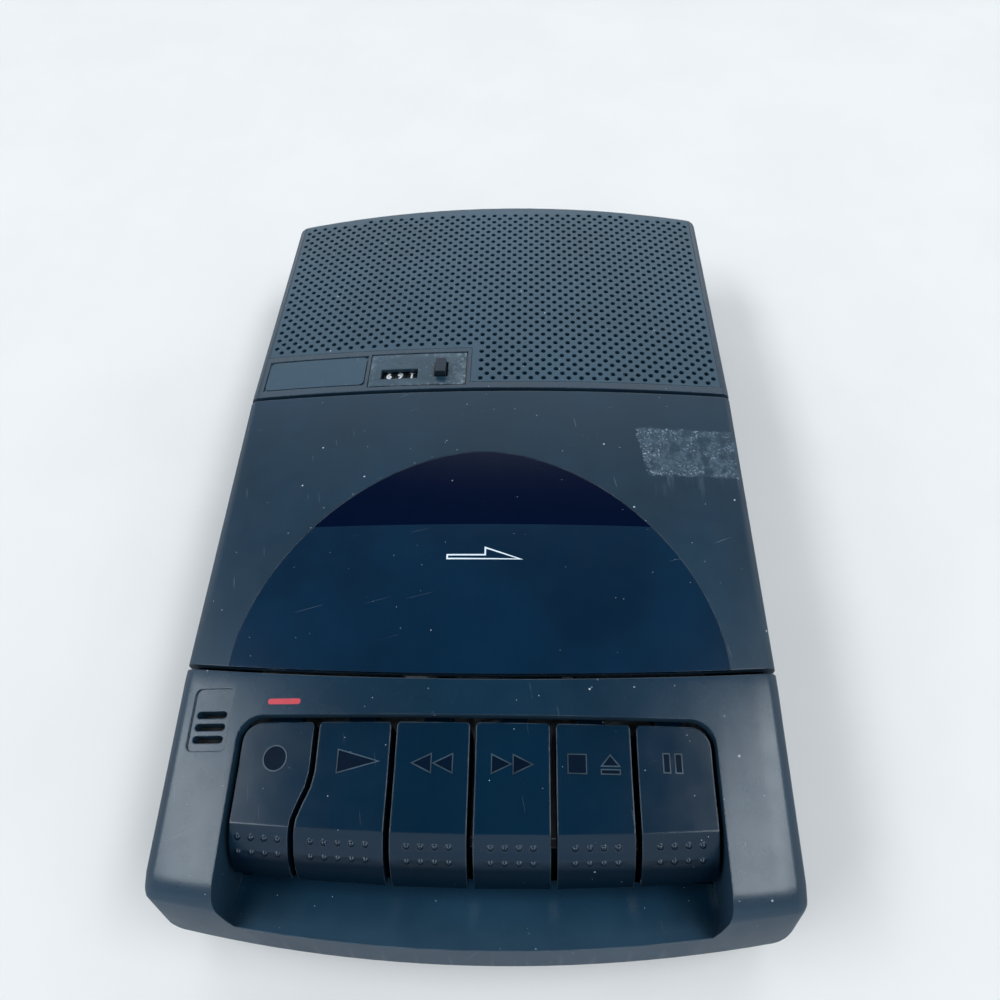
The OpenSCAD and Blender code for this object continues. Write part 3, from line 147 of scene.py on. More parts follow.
class Graph:
    """Node graph of one material or of the world."""

    def __init__(self, owner: bpy.types.Material | bpy.types.World, place: str = "Object") -> None:
        """Empty the owner's graph and add its coordinates.

        Args:
            owner: The material or world.
            place: Which coordinates its textures use.
        """
        owner.use_nodes = True
        self.owner = owner
        self.tree = owner.node_tree
        self.tree.nodes.clear()
        self.place = self.node("ShaderNodeTexCoord", out=place)

    @classmethod
    def material(cls, name: str) -> Graph:
        """Graph of a new material of that name."""
        return cls(bpy.data.materials.new(name))

    @staticmethod
    def _find(sockets: Any, key: str | int) -> bpy.types.NodeSocket:
        """Find a socket.

        Args:
            sockets: A node's inputs or outputs.
            key: The socket's number, identifier or name.

        Returns:
            The socket.
        """
        if isinstance(key, int):
            return sockets[key]
        for socket in sockets:
            if socket.identifier == key:
                return socket
        return sockets[key]

    def node(
        self,
        kind: str,
        settings: dict[str, Any] | None = None,
        sockets: dict[str | int, Any] | None = None,
        out: str | int = 0,
    ) -> Flow:
        """Add a node.

        Args:
            kind: The node's type.
            settings: Its properties.
            sockets: Values or flows of its inputs, by name, identifier or number.
            out: The output that is wanted.

        Returns:
            That output.
        """
        node = self.tree.nodes.new(kind)
        for key, value in (settings or {}).items():
            setattr(node, key, value)
        for key, value in (sockets or {}).items():
            socket = self._find(node.inputs, key)
            if isinstance(value, Flow):
                self.tree.links.new(value.socket, socket)
            else:
                socket.default_value = value
        return Flow(self.tree, self._find(node.outputs, out) if len(node.outputs) else None)

    def noise(self, size_mm: float, detail: float = 2.0, stretch: Colour = (1.0, 1.0, 1.0)) -> Flow:
        """Cloudy noise from 0 to 1.

        Args:
            size_mm: Size of its lumps.
            detail: How many finer layers it has.
            stretch: Factors on the three directions.

        Returns:
            The noise value.
        """
        place = self.place
        if stretch != (1.0, 1.0, 1.0):
            place = self.node("ShaderNodeMapping", sockets={"Vector": self.place, "Scale": stretch})
        return self.node("ShaderNodeTexNoise", sockets={
            "Vector": place, "Scale": 1.0 / (size_mm * MM), "Detail": detail, "Roughness": 0.55})

    def specks(self, cell_mm: float, radius: float) -> Flow:
        """1 inside small scattered specks, else 0.

        Args:
            cell_mm: Distance between specks.
            radius: Radius of a speck as a share of that distance.

        Returns:
            The mask.
        """
        near = self.node("ShaderNodeTexVoronoi", sockets={
            "Vector": self.place, "Scale": 1.0 / (cell_mm * MM), "Randomness": 1.0}, out="Distance")
        return near < radius

    def scratches(self, length_mm: float, spacing_mm: float, turn: float, width_mm: float = 0.09) -> Flow:
        """1 along thin straight scratches, else 0.

        Args:
            length_mm: Length of a scratch.
            spacing_mm: Distance between the lines that scratches lie on.
            turn: Direction in degrees about the vertical.
            width_mm: Width of a scratch.

        Returns:
            The mask.
        """
        turned = self.node("ShaderNodeMapping", {"vector_type": "TEXTURE"}, {
            "Vector": self.place, "Rotation": (0.0, 0.0, math.radians(turn)),
            "Scale": (length_mm / width_mm, 1.0, 1.0)})
        near = self.node("ShaderNodeTexVoronoi", {"voronoi_dimensions": "2D"}, {
            "Vector": turned, "Scale": 1.0 / (spacing_mm * MM), "Randomness": 1.0}, "Distance")
        return near < width_mm / spacing_mm / 2.0

    def ramp(self, value: Flow, low: float, high: float) -> Flow:
        """Value that goes from 0 to 1 between two levels.

        Args:
            value: What is graded.
            low: Level that gives 0.
            high: Level that gives 1.

        Returns:
            The graded value.
        """
        return self.node("ShaderNodeMapRange", {"interpolation_type": "SMOOTHSTEP"}, {
            "Value": value, "From Min": low, "From Max": high})

    def blend(self, factor: Flow | float, first: Flow | Colour, second: Flow | Colour) -> Flow:
        """Mix two colours.

        Args:
            factor: Share of the second colour.
            first: Colour at 0.
            second: Colour at 1.

        Returns:
            The mixed colour.
        """
        as_socket = [c if isinstance(c, Flow) else (*c, 1.0) for c in (first, second)]
        return self.node("ShaderNodeMix", {"data_type": "RGBA", "clamp_factor": True}, {
            "Factor_Float": factor, "A_Color": as_socket[0], "B_Color": as_socket[1]}, "Result_Color")

    def uneven(self, tone: Flow, colour: Colour, share: float) -> Flow:
        """Colour that varies with a tone.

        Args:
            tone: From 0 where it is darkest to 1 where it is lightest.
            colour: The middle colour.
            share: How far it goes to both sides.

        Returns:
            The varied colour.
        """
        return self.blend(tone, scaled(colour, 1.0 - share), scaled(colour, 1.0 + share))

    def band(self, value: Flow, low_mm: float, high_mm: float, soft_mm: float) -> Flow:
        """1 between two places along an axis, with soft ends.

        Args:
            value: The coordinate, in metres.
            low_mm: Where the band starts.
            high_mm: Where it ends.
            soft_mm: Width of its soft ends.

        Returns:
            The mask.
        """
        start = self.ramp(value, low_mm * MM, (low_mm + soft_mm) * MM)
        return start * (1.0 - self.ramp(value, (high_mm - soft_mm) * MM, high_mm * MM))

    def axis(self, index: int) -> Flow:
        """One coordinate of the surface point, in metres, by its number."""
        return self.node("ShaderNodeSeparateXYZ", sockets={0: self.place}, out=index)

    def facing(self, index: int) -> Flow:
        """How far the surface faces along one axis, by its number, from -1 to 1."""
        normal = self.node("ShaderNodeNewGeometry", out="Normal")
        return self.node("ShaderNodeSeparateXYZ", sockets={0: normal}, out=index)

    def edges(self, radius_mm: float) -> tuple[Flow, Flow]:
        """Softened edges.

        Args:
            radius_mm: Radius of the softened edge.

        Returns:
            The softened normal, and a mask that is 1 on sharp edges.
        """
        soft = self.node("ShaderNodeBevel", {"samples": 6}, {"Radius": radius_mm * MM})
        true = self.node("ShaderNodeNewGeometry", out="Normal")
        along = self.node("ShaderNodeVectorMath", {"operation": "DOT_PRODUCT"}, {0: soft, 1: true}, "Value")
        return soft, self.ramp(1.0 - along, 0.02, 0.25)

    def bump(self, height: Flow, depth_mm: float, normal: Flow | None = None) -> Flow:
        """Normal that follows a height.

        Args:
            height: Height from 0 to 1.
            depth_mm: Real depth of the relief.
            normal: Normal to start from.

        Returns:
            The bumped normal.
        """
        sockets: dict[str | int, Any] = {"Height": height, "Distance": depth_mm * MM, "Strength": 1.0}
        if normal is not None:
            sockets["Normal"] = normal
        return self.node("ShaderNodeBump", sockets=sockets)

    def shader(self, sockets: dict[str | int, Any]) -> Flow:
        """Principled shader with these values or flows on its inputs."""
        return self.node("ShaderNodeBsdfPrincipled", sockets=sockets)

    def close(self, shader: Flow) -> bpy.types.Material:
        """End the graph in a shader and give back its material."""
        self.node("ShaderNodeOutputMaterial", sockets={"Surface": shader})
        return self.owner

    def finish(self, sockets: dict[str | int, Any]) -> bpy.types.Material:
        """End the graph in a Principled shader and give back its material."""
        return self.close(self.shader(sockets))


def scaled(colour: Colour, factor: float) -> Colour:
    """Colour made lighter or darker by a factor."""
    return (colour[0] * factor, colour[1] * factor, colour[2] * factor)


@dataclass(frozen=True)
class MouldedPlastic:
    """Moulded plastic with a fine grain, uneven gloss, dust, scratches, and edges lightened as wear and as a
    painted highlight.
    """

    name: str
    colour: Colour
    roughness: float
    grain_mm: float = 0.35
    grain_depth_mm: float = 0.012
    cloud: float = 0.25
    dust: float = 0.75
    scratch: float = 0.3
    edge_mm: float = 0.35
    edge_light: float = 0.35
    side_rough: float = 0.3
    dust_colour: Colour = DUST

    def marks(self, graph: Graph, colour: Flow, rough: Flow) -> tuple[Flow, Flow]:
        """Marks of one piece alone; plain plastic has none."""
        return colour, rough

    def make(self) -> bpy.types.Material:
        """Build the material.

        Returns:
            The material.
        """
        graph = Graph.material(self.name)
        clouds = graph.noise(34.0, 4.0)
        handled = graph.noise(7.0, 5.0)
        grain = graph.noise(self.grain_mm, 1.0)
        normal, wear_and_highlight_edges = graph.edges(self.edge_mm)
        tone = graph.ramp(clouds, 0.3, 0.7)
        colour = graph.uneven(tone, self.colour, self.cloud)
        # Sharp edges are lightened in patches: partly rubbed wear, partly a painted edge highlight.
        rubbed_and_highlit = wear_and_highlight_edges * graph.ramp(handled, 0.35, 0.7) * self.edge_light
        colour = graph.blend(rubbed_and_highlit, colour, scaled(self.dust_colour, 0.5))
        lines = graph.scratches(8.0, 3.4, 24.0) + graph.scratches(4.0, 3.0, 101.0)
        lines = lines * graph.ramp(handled, 0.45, 0.6) * self.scratch
        colour = graph.blend(lines, colour, self.dust_colour)
        lint = (graph.specks(8.0, 0.034) + graph.specks(3.4, 0.036)) * self.dust
        colour = graph.blend(lint, colour, self.dust_colour)
        upright = graph.facing(2)
        rough = self.roughness + (handled - 0.5) * 0.1 + lint * 0.3
        rough = rough + graph.ramp(upright, 0.97, 0.66) * self.side_rough
        colour, rough = self.marks(graph, colour, rough)
        return self.close(graph, upright, {
            "Base Color": colour, "Roughness": rough, "IOR": PLASTIC_IOR,
            "Normal": graph.bump(grain, self.grain_depth_mm, normal)})

    def close(self, graph: Graph, upright: Flow, sockets: dict[str | int, Any]) -> bpy.types.Material:
        """End the graph in one shader, the same on level and steep faces."""
        return graph.finish(sockets)


@dataclass(frozen=True)
class KeyPlastic(MouldedPlastic):
    """Key plastic, dull low on the keys' fronts, where its colour is also darkened as painted shade."""

    dull_rough: float = 0.5
    dull_ior: float = 1.14
    dull_dark: float = 0.5
    steep: tuple[float, float] = (0.82, 0.6)

    def close(self, graph: Graph, upright: Flow, sockets: dict[str | int, Any]) -> bpy.types.Material:
        """Mix the glossy plastic with a dull one on steep faces, whose colour is darkened there as painted
        shade.

        Args:
            graph: The material's graph.
            upright: How far the surface faces up, from 0 to 1.
            sockets: Inputs of the glossy shader.

        Returns:
            The material.
        """
        gloss = graph.shader(sockets)
        # Painted shade: the base colour is darkened on the steep key fronts.
        dark = graph.blend(self.dull_dark, sockets["Base Color"], BLACK)
        dull_and_shaded = graph.shader({
            **sockets, "Base Color": dark, "Roughness": self.dull_rough, "IOR": self.dull_ior})
        return graph.close(graph.node("ShaderNodeMixShader", sockets={
            0: graph.ramp(upright, *self.steep), 1: gloss, 2: dull_and_shaded}))


@dataclass(frozen=True)
class CasePlastic(MouldedPlastic):
    """Case plastic with painted shade at the halves' seam, and dust with painted sheen in the scoop and on
    the front.
    """

    seam_z_mm: float = 24.0
    seam_mm: float = 0.36
    scoop_y_mm: tuple[float, float] = (-106.0, -121.0)
    scoop_half_mm: float = 57.0
    scoop_soft_mm: float = 6.0
    ahead_facing: tuple[float, float] = (-0.2, -0.6)
    ahead_share: float = 0.3
    veil: float = 0.115
    veil_colour: Colour = (0.2, 0.45, 0.7)

    def marks(self, graph: Graph, colour: Flow, rough: Flow) -> tuple[Flow, Flow]:
        """Paint shade along the seam, and thin dust with painted sheen over the scoop and on front-facing
        faces.

        Args:
            graph: The material's graph.
            colour: Colour of the plain plastic.
            rough: Its roughness.

        Returns:
            Colour and roughness with the marks.
        """
        # Painted shade: a black line where the two case halves meet.
        half = self.seam_mm / 2.0
        painted_seam_shade = graph.band(graph.axis(2), self.seam_z_mm - half, self.seam_z_mm + half, half / 2.0)
        scoop = graph.ramp(graph.axis(1), self.scoop_y_mm[0] * MM, self.scoop_y_mm[1] * MM)
        level_mm = self.scoop_half_mm - self.scoop_soft_mm
        scoop = scoop * graph.ramp(abs(graph.axis(0)), self.scoop_half_mm * MM, level_mm * MM)
        # Painted sheen: forward-facing faces, and the scoop towards its lip, are lightened; the noise mottles
        # it like thin dust.
        ahead = graph.ramp(graph.facing(1), *self.ahead_facing)
        dust_and_sheen_spread = scoop * (1.0 - ahead) + ahead * self.ahead_share
        dust_and_sheen_mask = dust_and_sheen_spread * (graph.noise(12.0, 5.0) + 0.5) * self.veil
        colour = graph.blend(dust_and_sheen_mask, colour, self.veil_colour)
        return graph.blend(painted_seam_shade, colour, BLACK), rough + painted_seam_shade * 0.4


@dataclass(frozen=True)
class LidPlastic(MouldedPlastic):
    """Lid plastic with the grey remains of a torn sticker near its right side."""

    patch_x_mm: tuple[float, float] = (45.4, 75.4)
    patch_y_mm: tuple[float, float] = (-3.2, 14.0)
    lean: float = 0.155
    rim_mm: float = 2.2
    smear_mm: float = 9.0
    ragged_mm: float = 3.2
    overrun_mm: float = 9.0
    whole_mm: tuple[float, float] = (5.0, 14.0)
    patch_colour: Colour = (0.08, 0.13, 0.18)
    crumb_colour: Colour = (0.5, 0.58, 0.66)

    def smears(self, graph: Graph, within: Flow, along: Flow) -> Flow:
        """Streaks that run down from the sticker's lower edge.

        Args:
            graph: The material's graph.
            within: Mask between the sticker's sides.
            along: Place along Y, in metres.

        Returns:
            The streaks' mask.
        """
        low = self.patch_y_mm[0]
        streaks = graph.ramp(graph.noise(0.9, 3.0, (1.0, 0.07, 1.0)), 0.5, 0.68)
        tufts = graph.ramp(graph.noise(5.0, 1.0, (1.0, 0.2, 1.0)), 0.42, 0.6)
        fading = graph.ramp(along, (low - self.smear_mm) * MM, low * MM)
        below = graph.ramp(along, (low + 1.0) * MM, low * MM)
        return streaks * tufts * within * fading * below

    def marks(self, graph: Graph, colour: Flow, rough: Flow) -> tuple[Flow, Flow]:
        """Add the sticker's remains and their smears.

        Args:
            graph: The material's graph.
            colour: Colour of the plain plastic.
            rough: Its roughness.

        Returns:
            Colour and roughness with the marks.
        """
        (x0, x1), (y0, y1) = self.patch_x_mm, self.patch_y_mm
        ragged = (graph.noise(1.1, 5.0) - 0.5) * self.ragged_mm * MM
        along = graph.axis(1) + ragged
        across = graph.axis(0) + ragged + (along - y1 * MM) * self.lean
        within = graph.band(across, x0, x1, 0.4)
        film = within * graph.band(along, y0, y1, 0.5)
        inner = graph.band(across, x0, x1 + self.overrun_mm, self.rim_mm)
        inner = inner * graph.band(along, y0, y1, self.rim_mm)
        whole_from, whole_to = (x0 + reach for reach in self.whole_mm)
        whole = 1.0 - graph.ramp(across, whole_from * MM, whole_to * MM) * 0.75
        torn = graph.ramp(graph.noise(3.2, 6.0) + whole * 0.16, 0.46, 0.6)
        mottled = graph.ramp(graph.noise(1.2, 6.0), 0.38, 0.62)
        smear = self.smears(graph, within, along)
        film = film * (0.16 + torn * 0.84)
        clusters = graph.ramp(graph.noise(3.6, 3.0), 0.44, 0.6) * 0.7 + (1.0 - inner) * 0.5
        crumbs = graph.ramp(graph.noise(0.6, 5.0), 0.54, 0.68) * clusters
        colour = graph.blend(film * (0.16 + mottled * 0.36) + smear * 0.28, colour, self.patch_colour)
        colour = graph.blend(film * crumbs * 0.6, colour, self.crumb_colour)
        return colour, rough + film * 0.3 + smear * 0.15


@dataclass(frozen=True)
class ScuffedPlate(MouldedPlastic):
    """Plate round the counter, with crumbs of old glue along its edges."""

    rim_mm: float = 2.4
    end_mm: float = 8.0
    glue_colour: Colour = (0.4, 0.47, 0.53)

    def marks(self, graph: Graph, colour: Flow, rough: Flow) -> tuple[Flow, Flow]:
        """Add the glue's crumbs and haze, most of it at the plate's right end.

        Args:
            graph: The material's graph.
            colour: Colour of the plain plastic.
            rough: Its roughness.

        Returns:
            Colour and roughness with the marks.
        """
        across, along = graph.axis(0), graph.axis(1)
        (x0, y0), (x1, y1) = COUNTER_PLATE_MM
        inner = graph.band(across, x0, x1, self.rim_mm) * graph.band(along, y0, y1, self.rim_mm)
        border = (1.0 - inner) * 0.6 + graph.ramp(across, (x1 - self.end_mm) * MM, x1 * MM) * 0.6
        crumbs = graph.ramp(graph.noise(1.2, 5.0), 0.48, 0.64) * border
        haze = graph.ramp(graph.noise(3.8, 5.0), 0.42, 0.66) * (border + 0.25)
        colour = graph.blend(haze * 0.09 + crumbs * 0.3, colour, self.glue_colour)
        return colour, rough + crumbs * 0.2


@dataclass(frozen=True)
class SmokedWindow:
    """Smoked window, see-through behind a line and printed dark in front of it."""

    name: str
    print_line_mm: float
    smoke: Colour = (0.0006, 0.004, 0.02)
    ink: Colour = (0.0015, 0.016, 0.04)
    clear_alpha: float = 0.93

    def make(self) -> bpy.types.Material:
        """Build the material.

        Returns:
            The material.
        """
        graph = Graph.material(self.name)
        printed = graph.axis(1) < self.print_line_mm * MM
        clouds = graph.noise(30.0, 4.0)
        ink = graph.blend(graph.ramp(clouds, 0.3, 0.7), scaled(self.ink, 0.85), scaled(self.ink, 1.2))
        colour = graph.blend(printed, self.smoke, ink)
        lint = graph.specks(8.0, 0.024) + graph.specks(3.2, 0.03)
        lines = graph.scratches(8.0, 3.0, 15.0) * graph.ramp(clouds, 0.45, 0.6)
        colour = graph.blend(lint * 0.8 + lines * 0.15, colour, DUST)
        rough = 0.08 + printed * 0.09 + graph.noise(6.0, 4.0) * 0.05
        normal, _ = graph.edges(0.15)
        return graph.finish({
            "Base Color": colour, "Roughness": rough, "IOR": PLASTIC_IOR,
            "Alpha": self.clear_alpha + printed * (1.0 - self.clear_alpha),
            "Normal": graph.bump(graph.noise(0.4, 1.0), 0.004, normal)})


@dataclass(frozen=True)
class Metal:
    """Bare or plated metal with fine lines and faint stains."""

    name: str
    colour: Colour
    roughness: float
    stretch: Colour = (0.05, 1.0, 1.0)

    def make(self) -> bpy.types.Material:
        """Build the material.

        Returns:
            The material.
        """
        graph = Graph.material(self.name)
        lines = graph.noise(0.5, 2.0, self.stretch)
        stains = graph.ramp(graph.noise(9.0, 5.0), 0.4, 0.7)
        colour = graph.blend(stains * 0.35, self.colour, scaled(self.colour, 0.62))
        rough = self.roughness + (lines - 0.5) * 0.2 + stains * 0.1
        normal, _ = graph.edges(0.12)
        return graph.finish({
            "Base Color": colour, "Roughness": rough, "Metallic": 1.0,
            "Normal": graph.bump(lines, 0.006, normal)})


@dataclass(frozen=True)
class MattFilm:
    """Matt stock such as ink, rubber, paper or lacquer, a little uneven."""

    name: str
    colour: Colour
    roughness: float = 0.6
    lump_mm: float = 0.6
    depth_mm: float = 0.01
    uneven: float = 0.15
    ior: float = 1.45

    def make(self) -> bpy.types.Material:
        """Build the material.

        Returns:
            The material.
        """
        graph = Graph.material(self.name)
        lumps = graph.noise(self.lump_mm, 3.0)
        tone = graph.ramp(graph.noise(self.lump_mm * 8.0, 3.0), 0.3, 0.7)
        colour = graph.uneven(tone, self.colour, self.uneven)
        return graph.finish({
            "Base Color": colour, "Roughness": self.roughness + (lumps - 0.5) * 0.12, "IOR": self.ior,
            "Normal": graph.bump(lumps, self.depth_mm)})


class Palette:
    """All finishes of the recorder, each made once."""

    def __init__(self, print_line_mm: float) -> None:
        """Make the materials.

        Args:
            print_line_mm: Where the printed part of the window ends, along Y.
        """
        self.case = CasePlastic("case_charcoal", (0.003, 0.022, 0.046), 0.27, cloud=0.12, scratch=0.15).make()
        self.grille = MouldedPlastic(
            "grille_charcoal", (0.008, 0.043, 0.077), 0.4, cloud=0.1, edge_mm=0.12, edge_light=0.15).make()
        self.lid = LidPlastic(
            "lid_charcoal", (0.002, 0.022, 0.046), 0.34, cloud=0.15, grain_depth_mm=0.006).make()
        self.window = SmokedWindow("smoked_window", print_line_mm).make()
        self.key = KeyPlastic(
            "key_black", (0.0012, 0.016, 0.037), 0.18, cloud=0.12, grain_depth_mm=0.003,
            edge_mm=0.5, scratch=0.08, edge_light=0.5, side_rough=0.25).make()
        self.control = MouldedPlastic("control_black", (0.002, 0.01, 0.022), 0.3, dust=0.3).make()
        self.scuffed = ScuffedPlate(
            "scuffed_plate", (0.006, 0.032, 0.058), 0.36, cloud=0.3, scratch=0.5, edge_light=0.7).make()
        self.wheel = MattFilm("counter_black", (0.006, 0.006, 0.007), 0.5).make()
        self.steel = Metal("plated_steel", (0.62, 0.64, 0.67), 0.32).make()
        self.iron = Metal("dark_steel", (0.3, 0.31, 0.33), 0.42).make()
        self.brass = Metal("turned_brass", (0.72, 0.55, 0.24), 0.3, (1.0, 1.0, 0.08)).make()
        self.hub = MouldedPlastic("hub_white", (0.62, 0.63, 0.62), 0.42, dust=0.1, scratch=0.1).make()
        self.rubber = MattFilm("black_rubber", (0.011, 0.011, 0.012), 0.78, 0.3, 0.02).make()
        self.paper = MattFilm("cone_paper", (0.018, 0.018, 0.019), 0.85, 0.8, 0.05).make()
        self.board = MattFilm("board_lacquer", (0.04, 0.12, 0.06), 0.35, 1.5, 0.01, 0.3).make()
        self.white_ink = MattFilm("white_ink", (0.74, 0.8, 0.88), 0.5, 0.5, 0.002, 0.05).make()
        self.red_ink = MattFilm("red_ink", (0.56, 0.05, 0.07), 0.5, 0.5, 0.002, 0.1).make()
        self.mark = MattFilm("mark_black", (0.0006, 0.006, 0.018), 0.4, 1.0, 0.002, ior=1.15).make()
        # The sign rims' grey is a painted highlight on their raised edges.
        self.rim = MattFilm("sign_rim_highlight", (0.03, 0.053, 0.076), 0.35, 0.9, 0.004, 0.5).make()


def add_object(name: str, form: bmesh.types.BMesh, material: bpy.types.Material) -> bpy.types.Object:
    """Turn a bmesh into an object of the scene.

    Args:
        name: Name of the piece.
        form: The mesh, which is freed.
        material: Its finish.

    Returns:
        The new object.
    """
    bmesh.ops.recalc_face_normals(form, faces=form.faces)
    mesh = bpy.data.meshes.new(name)
    form.to_mesh(mesh)
    form.free()
    mesh.materials.append(material)
    thing = bpy.data.objects.new(name, mesh)
    bpy.context.scene.collection.objects.link(thing)
    return thing


def circle(radius: float, sides: int = 40, centre: Point = (0.0, 0.0)) -> Outline:
    """Points of a circle.

    Args:
        radius: Its radius, in millimetres.
        sides: How many points it has.
        centre: Its middle.

    Returns:
        The outline, anticlockwise.
    """
    turns = [2.0 * math.pi * i / sides for i in range(sides)]
    return [(centre[0] + radius * math.cos(a), centre[1] + radius * math.sin(a)) for a in turns]


def rounded_box(low: Point, high: Point, radius: float, steps: int = 5) -> Outline:
    """Points of a rectangle with rounded corners.

    Args:
        low: Lower left corner.
        high: Upper right corner.
        radius: Corner radius.
        steps: Points of each corner's arc.

    Returns:
        The outline, anticlockwise.
    """
    (x0, y0), (x1, y1) = low, high
    corners = ((x1, y1, 0.0), (x0, y1, 90.0), (x0, y0, 180.0), (x1, y0, 270.0))
    points = []
    for x, y, start in corners:
        cx = x - radius if start in (0.0, 270.0) else x + radius
        cy = y - radius if start in (0.0, 90.0) else y + radius
        for step in range(steps + 1):
            angle = math.radians(start + 90.0 * step / steps)
            points.append((cx + radius * math.cos(angle), cy + radius * math.sin(angle)))
    return points


def extruded(form: bmesh.types.BMesh, faces: list[bmesh.types.BMFace]) -> set[bmesh.types.BMVert]:
    """Extrude faces in place and give back the new vertices."""
    grown = bmesh.ops.extrude_face_region(form, geom=faces)["geom"]
    return {part for part in grown if isinstance(part, bmesh.types.BMVert)}


def fasten(piece: bpy.types.Object, body: str) -> None:
    """Let a piece ride on a body."""
    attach(piece, body)


def drawn_in(outline: Outline, inset: float) -> Outline:
    """Closed outline moved inwards by an inset, with mitred corners.

    Args:
        outline: Anticlockwise points.
        inset: Distance to move.

    Returns:
        As many points, moved.
    """
    sharpest = 0.3
    moved = []
    count = len(outline)
    for i, here in enumerate(outline):
        before = Vector(here) - Vector(outline[i - 1])
        after = Vector(outline[(i + 1) % count]) - Vector(here)
        n1 = Vector((-before.y, before.x)).normalized()
        n2 = Vector((-after.y, after.x)).normalized()
        mitre = (n1 + n2).normalized()
        shift = mitre * (inset / max(mitre.dot(n1), sharpest))
        moved.append((here[0] + shift.x, here[1] + shift.y))
    return moved


class Skin:
    """Outer skin of a CAD node, to lay pieces on."""

    START_Z = 0.2
    DOWN = Vector((0.0, 0.0, -1.0))

    def __init__(self, node: bpy.types.Object) -> None:
        """Index the node's faces."""
        mesh = node.data
        self.tree = BVHTree.FromPolygons(
            [v.co for v in mesh.vertices], [tuple(p.vertices) for p in mesh.polygons])

    def drop(self, x: float, y: float) -> Vector:
        """Find the skin below a point of the plan.

        Args:
            x: Place along X, in metres.
            y: Place along Y, in metres.

        Returns:
            The point on the skin.
        """
        spot = self.tree.ray_cast(Vector((x, y, self.START_Z)), self.DOWN)[0]
        if spot is None:
            raise ValueError(f"nothing lies below {x:.4f}, {y:.4f}")
        return spot


@dataclass
class Relief:
    """A low raised form on a node's skin, made from flat outlines in millimetres."""

    skin: Skin
    height_mm: float
    sink_mm: float = 0.02
    cell_mm: float = 1.5
    rounds: int = 6

    @staticmethod
    def _fill(form: bmesh.types.BMesh, outer: Outline, inner: Outline | None) -> None:
        """Add a flat face, or a ring between two outlines of equal length.

        Args:
            form: The mesh that gets the faces.
            outer: The outer outline.
            inner: The inner outline of a ring.
        """
        loops = []
        for outline in (outer, inner or []):
            loops.append([form.verts.new((x * MM, y * MM, 0.0)) for x, y in outline])
        if inner is None:
            form.faces.new(loops[0])
            return
        count = len(outer)
        for i in range(count):
            j = (i + 1) % count
            form.faces.new((loops[0][i], loops[0][j], loops[1][j], loops[1][i]))

    def lay(
        self,
        name: str,
        shapes: Iterable[tuple[Outline, Outline | None]],
        material: bpy.types.Material,
    ) -> bpy.types.Object:
        """Lay shapes on the skin and raise them.

        Args:
            name: Name of the piece.
            shapes: Outer outlines, each with an inner outline or none.
            material: Finish of the piece.

        Returns:
            The piece.
        """
        form = bmesh.new()
        for outer, inner in shapes:
            self._fill(form, outer, inner)
        bmesh.ops.triangulate(form, faces=[f for f in form.faces if len(f.verts) > 4])
        for _ in range(self.rounds):
            long = [e for e in form.edges if e.calc_length() > self.cell_mm * MM]
            if not long:
                break
            bmesh.ops.subdivide_edges(form, edges=long, cuts=1)
            bmesh.ops.triangulate(form, faces=form.faces[:])
        upper = extruded(form, form.faces[:])
        for vert in form.verts:
            raised = self.height_mm if vert in upper else -self.sink_mm
            vert.co = self.skin.drop(vert.co.x, vert.co.y) + Vector((0.0, 0.0, raised * MM))
        return add_object(name, form, material)


class KeyMark(Enum):
    """The sign on each key, in the order of the keys."""

    RECORD = "rec_key"
    PLAY = "play_key"
    REWIND = "rewind_key"
    FORWARD = "fast_forward_key"
    STOP_EJECT = "stop_eject_key"
    PAUSE = "pause_key"

    @property
    def middle_mm(self) -> float:
        """Middle of the key along X."""
        return KEY_PITCH_MM * (list(KeyMark).index(self) - (len(KeyMark) - 1) / 2.0)

    def outlines(self) -> list[Outline]:
        """Draw the sign.

        Returns:
            Closed outlines about the sign's middle, anticlockwise, in millimetres.
        """
        pair = [[(-5.2, -2.4), (0.0, 0.0), (-5.2, 2.4)], [(0.0, -2.4), (5.2, 0.0), (0.0, 2.4)]]
        if self is KeyMark.RECORD:
            return [circle(3.1)]
        if self is KeyMark.PLAY:
            return [[(-3.8, -2.9), (7.0, 0.0), (-3.8, 2.9)]]
        if self is KeyMark.FORWARD:
            return pair
        if self is KeyMark.REWIND:
            return [[(-x, y) for x, y in reversed(outline)] for outline in pair]
        if self is KeyMark.STOP_EJECT:
            return [
                [(-6.4, -2.3), (-1.7, -2.3), (-1.7, 2.3), (-6.4, 2.3)],
                [(1.4, -0.5), (6.4, -0.5), (3.9, 2.4)],
                [(1.5, -2.3), (6.3, -2.3), (6.3, -1.0), (1.5, -1.0)],
            ]
        return [[(x, -2.3), (x + 1.9, -2.3), (x + 1.9, 2.3), (x, 2.3)] for x in (-3.05, -0.15)]


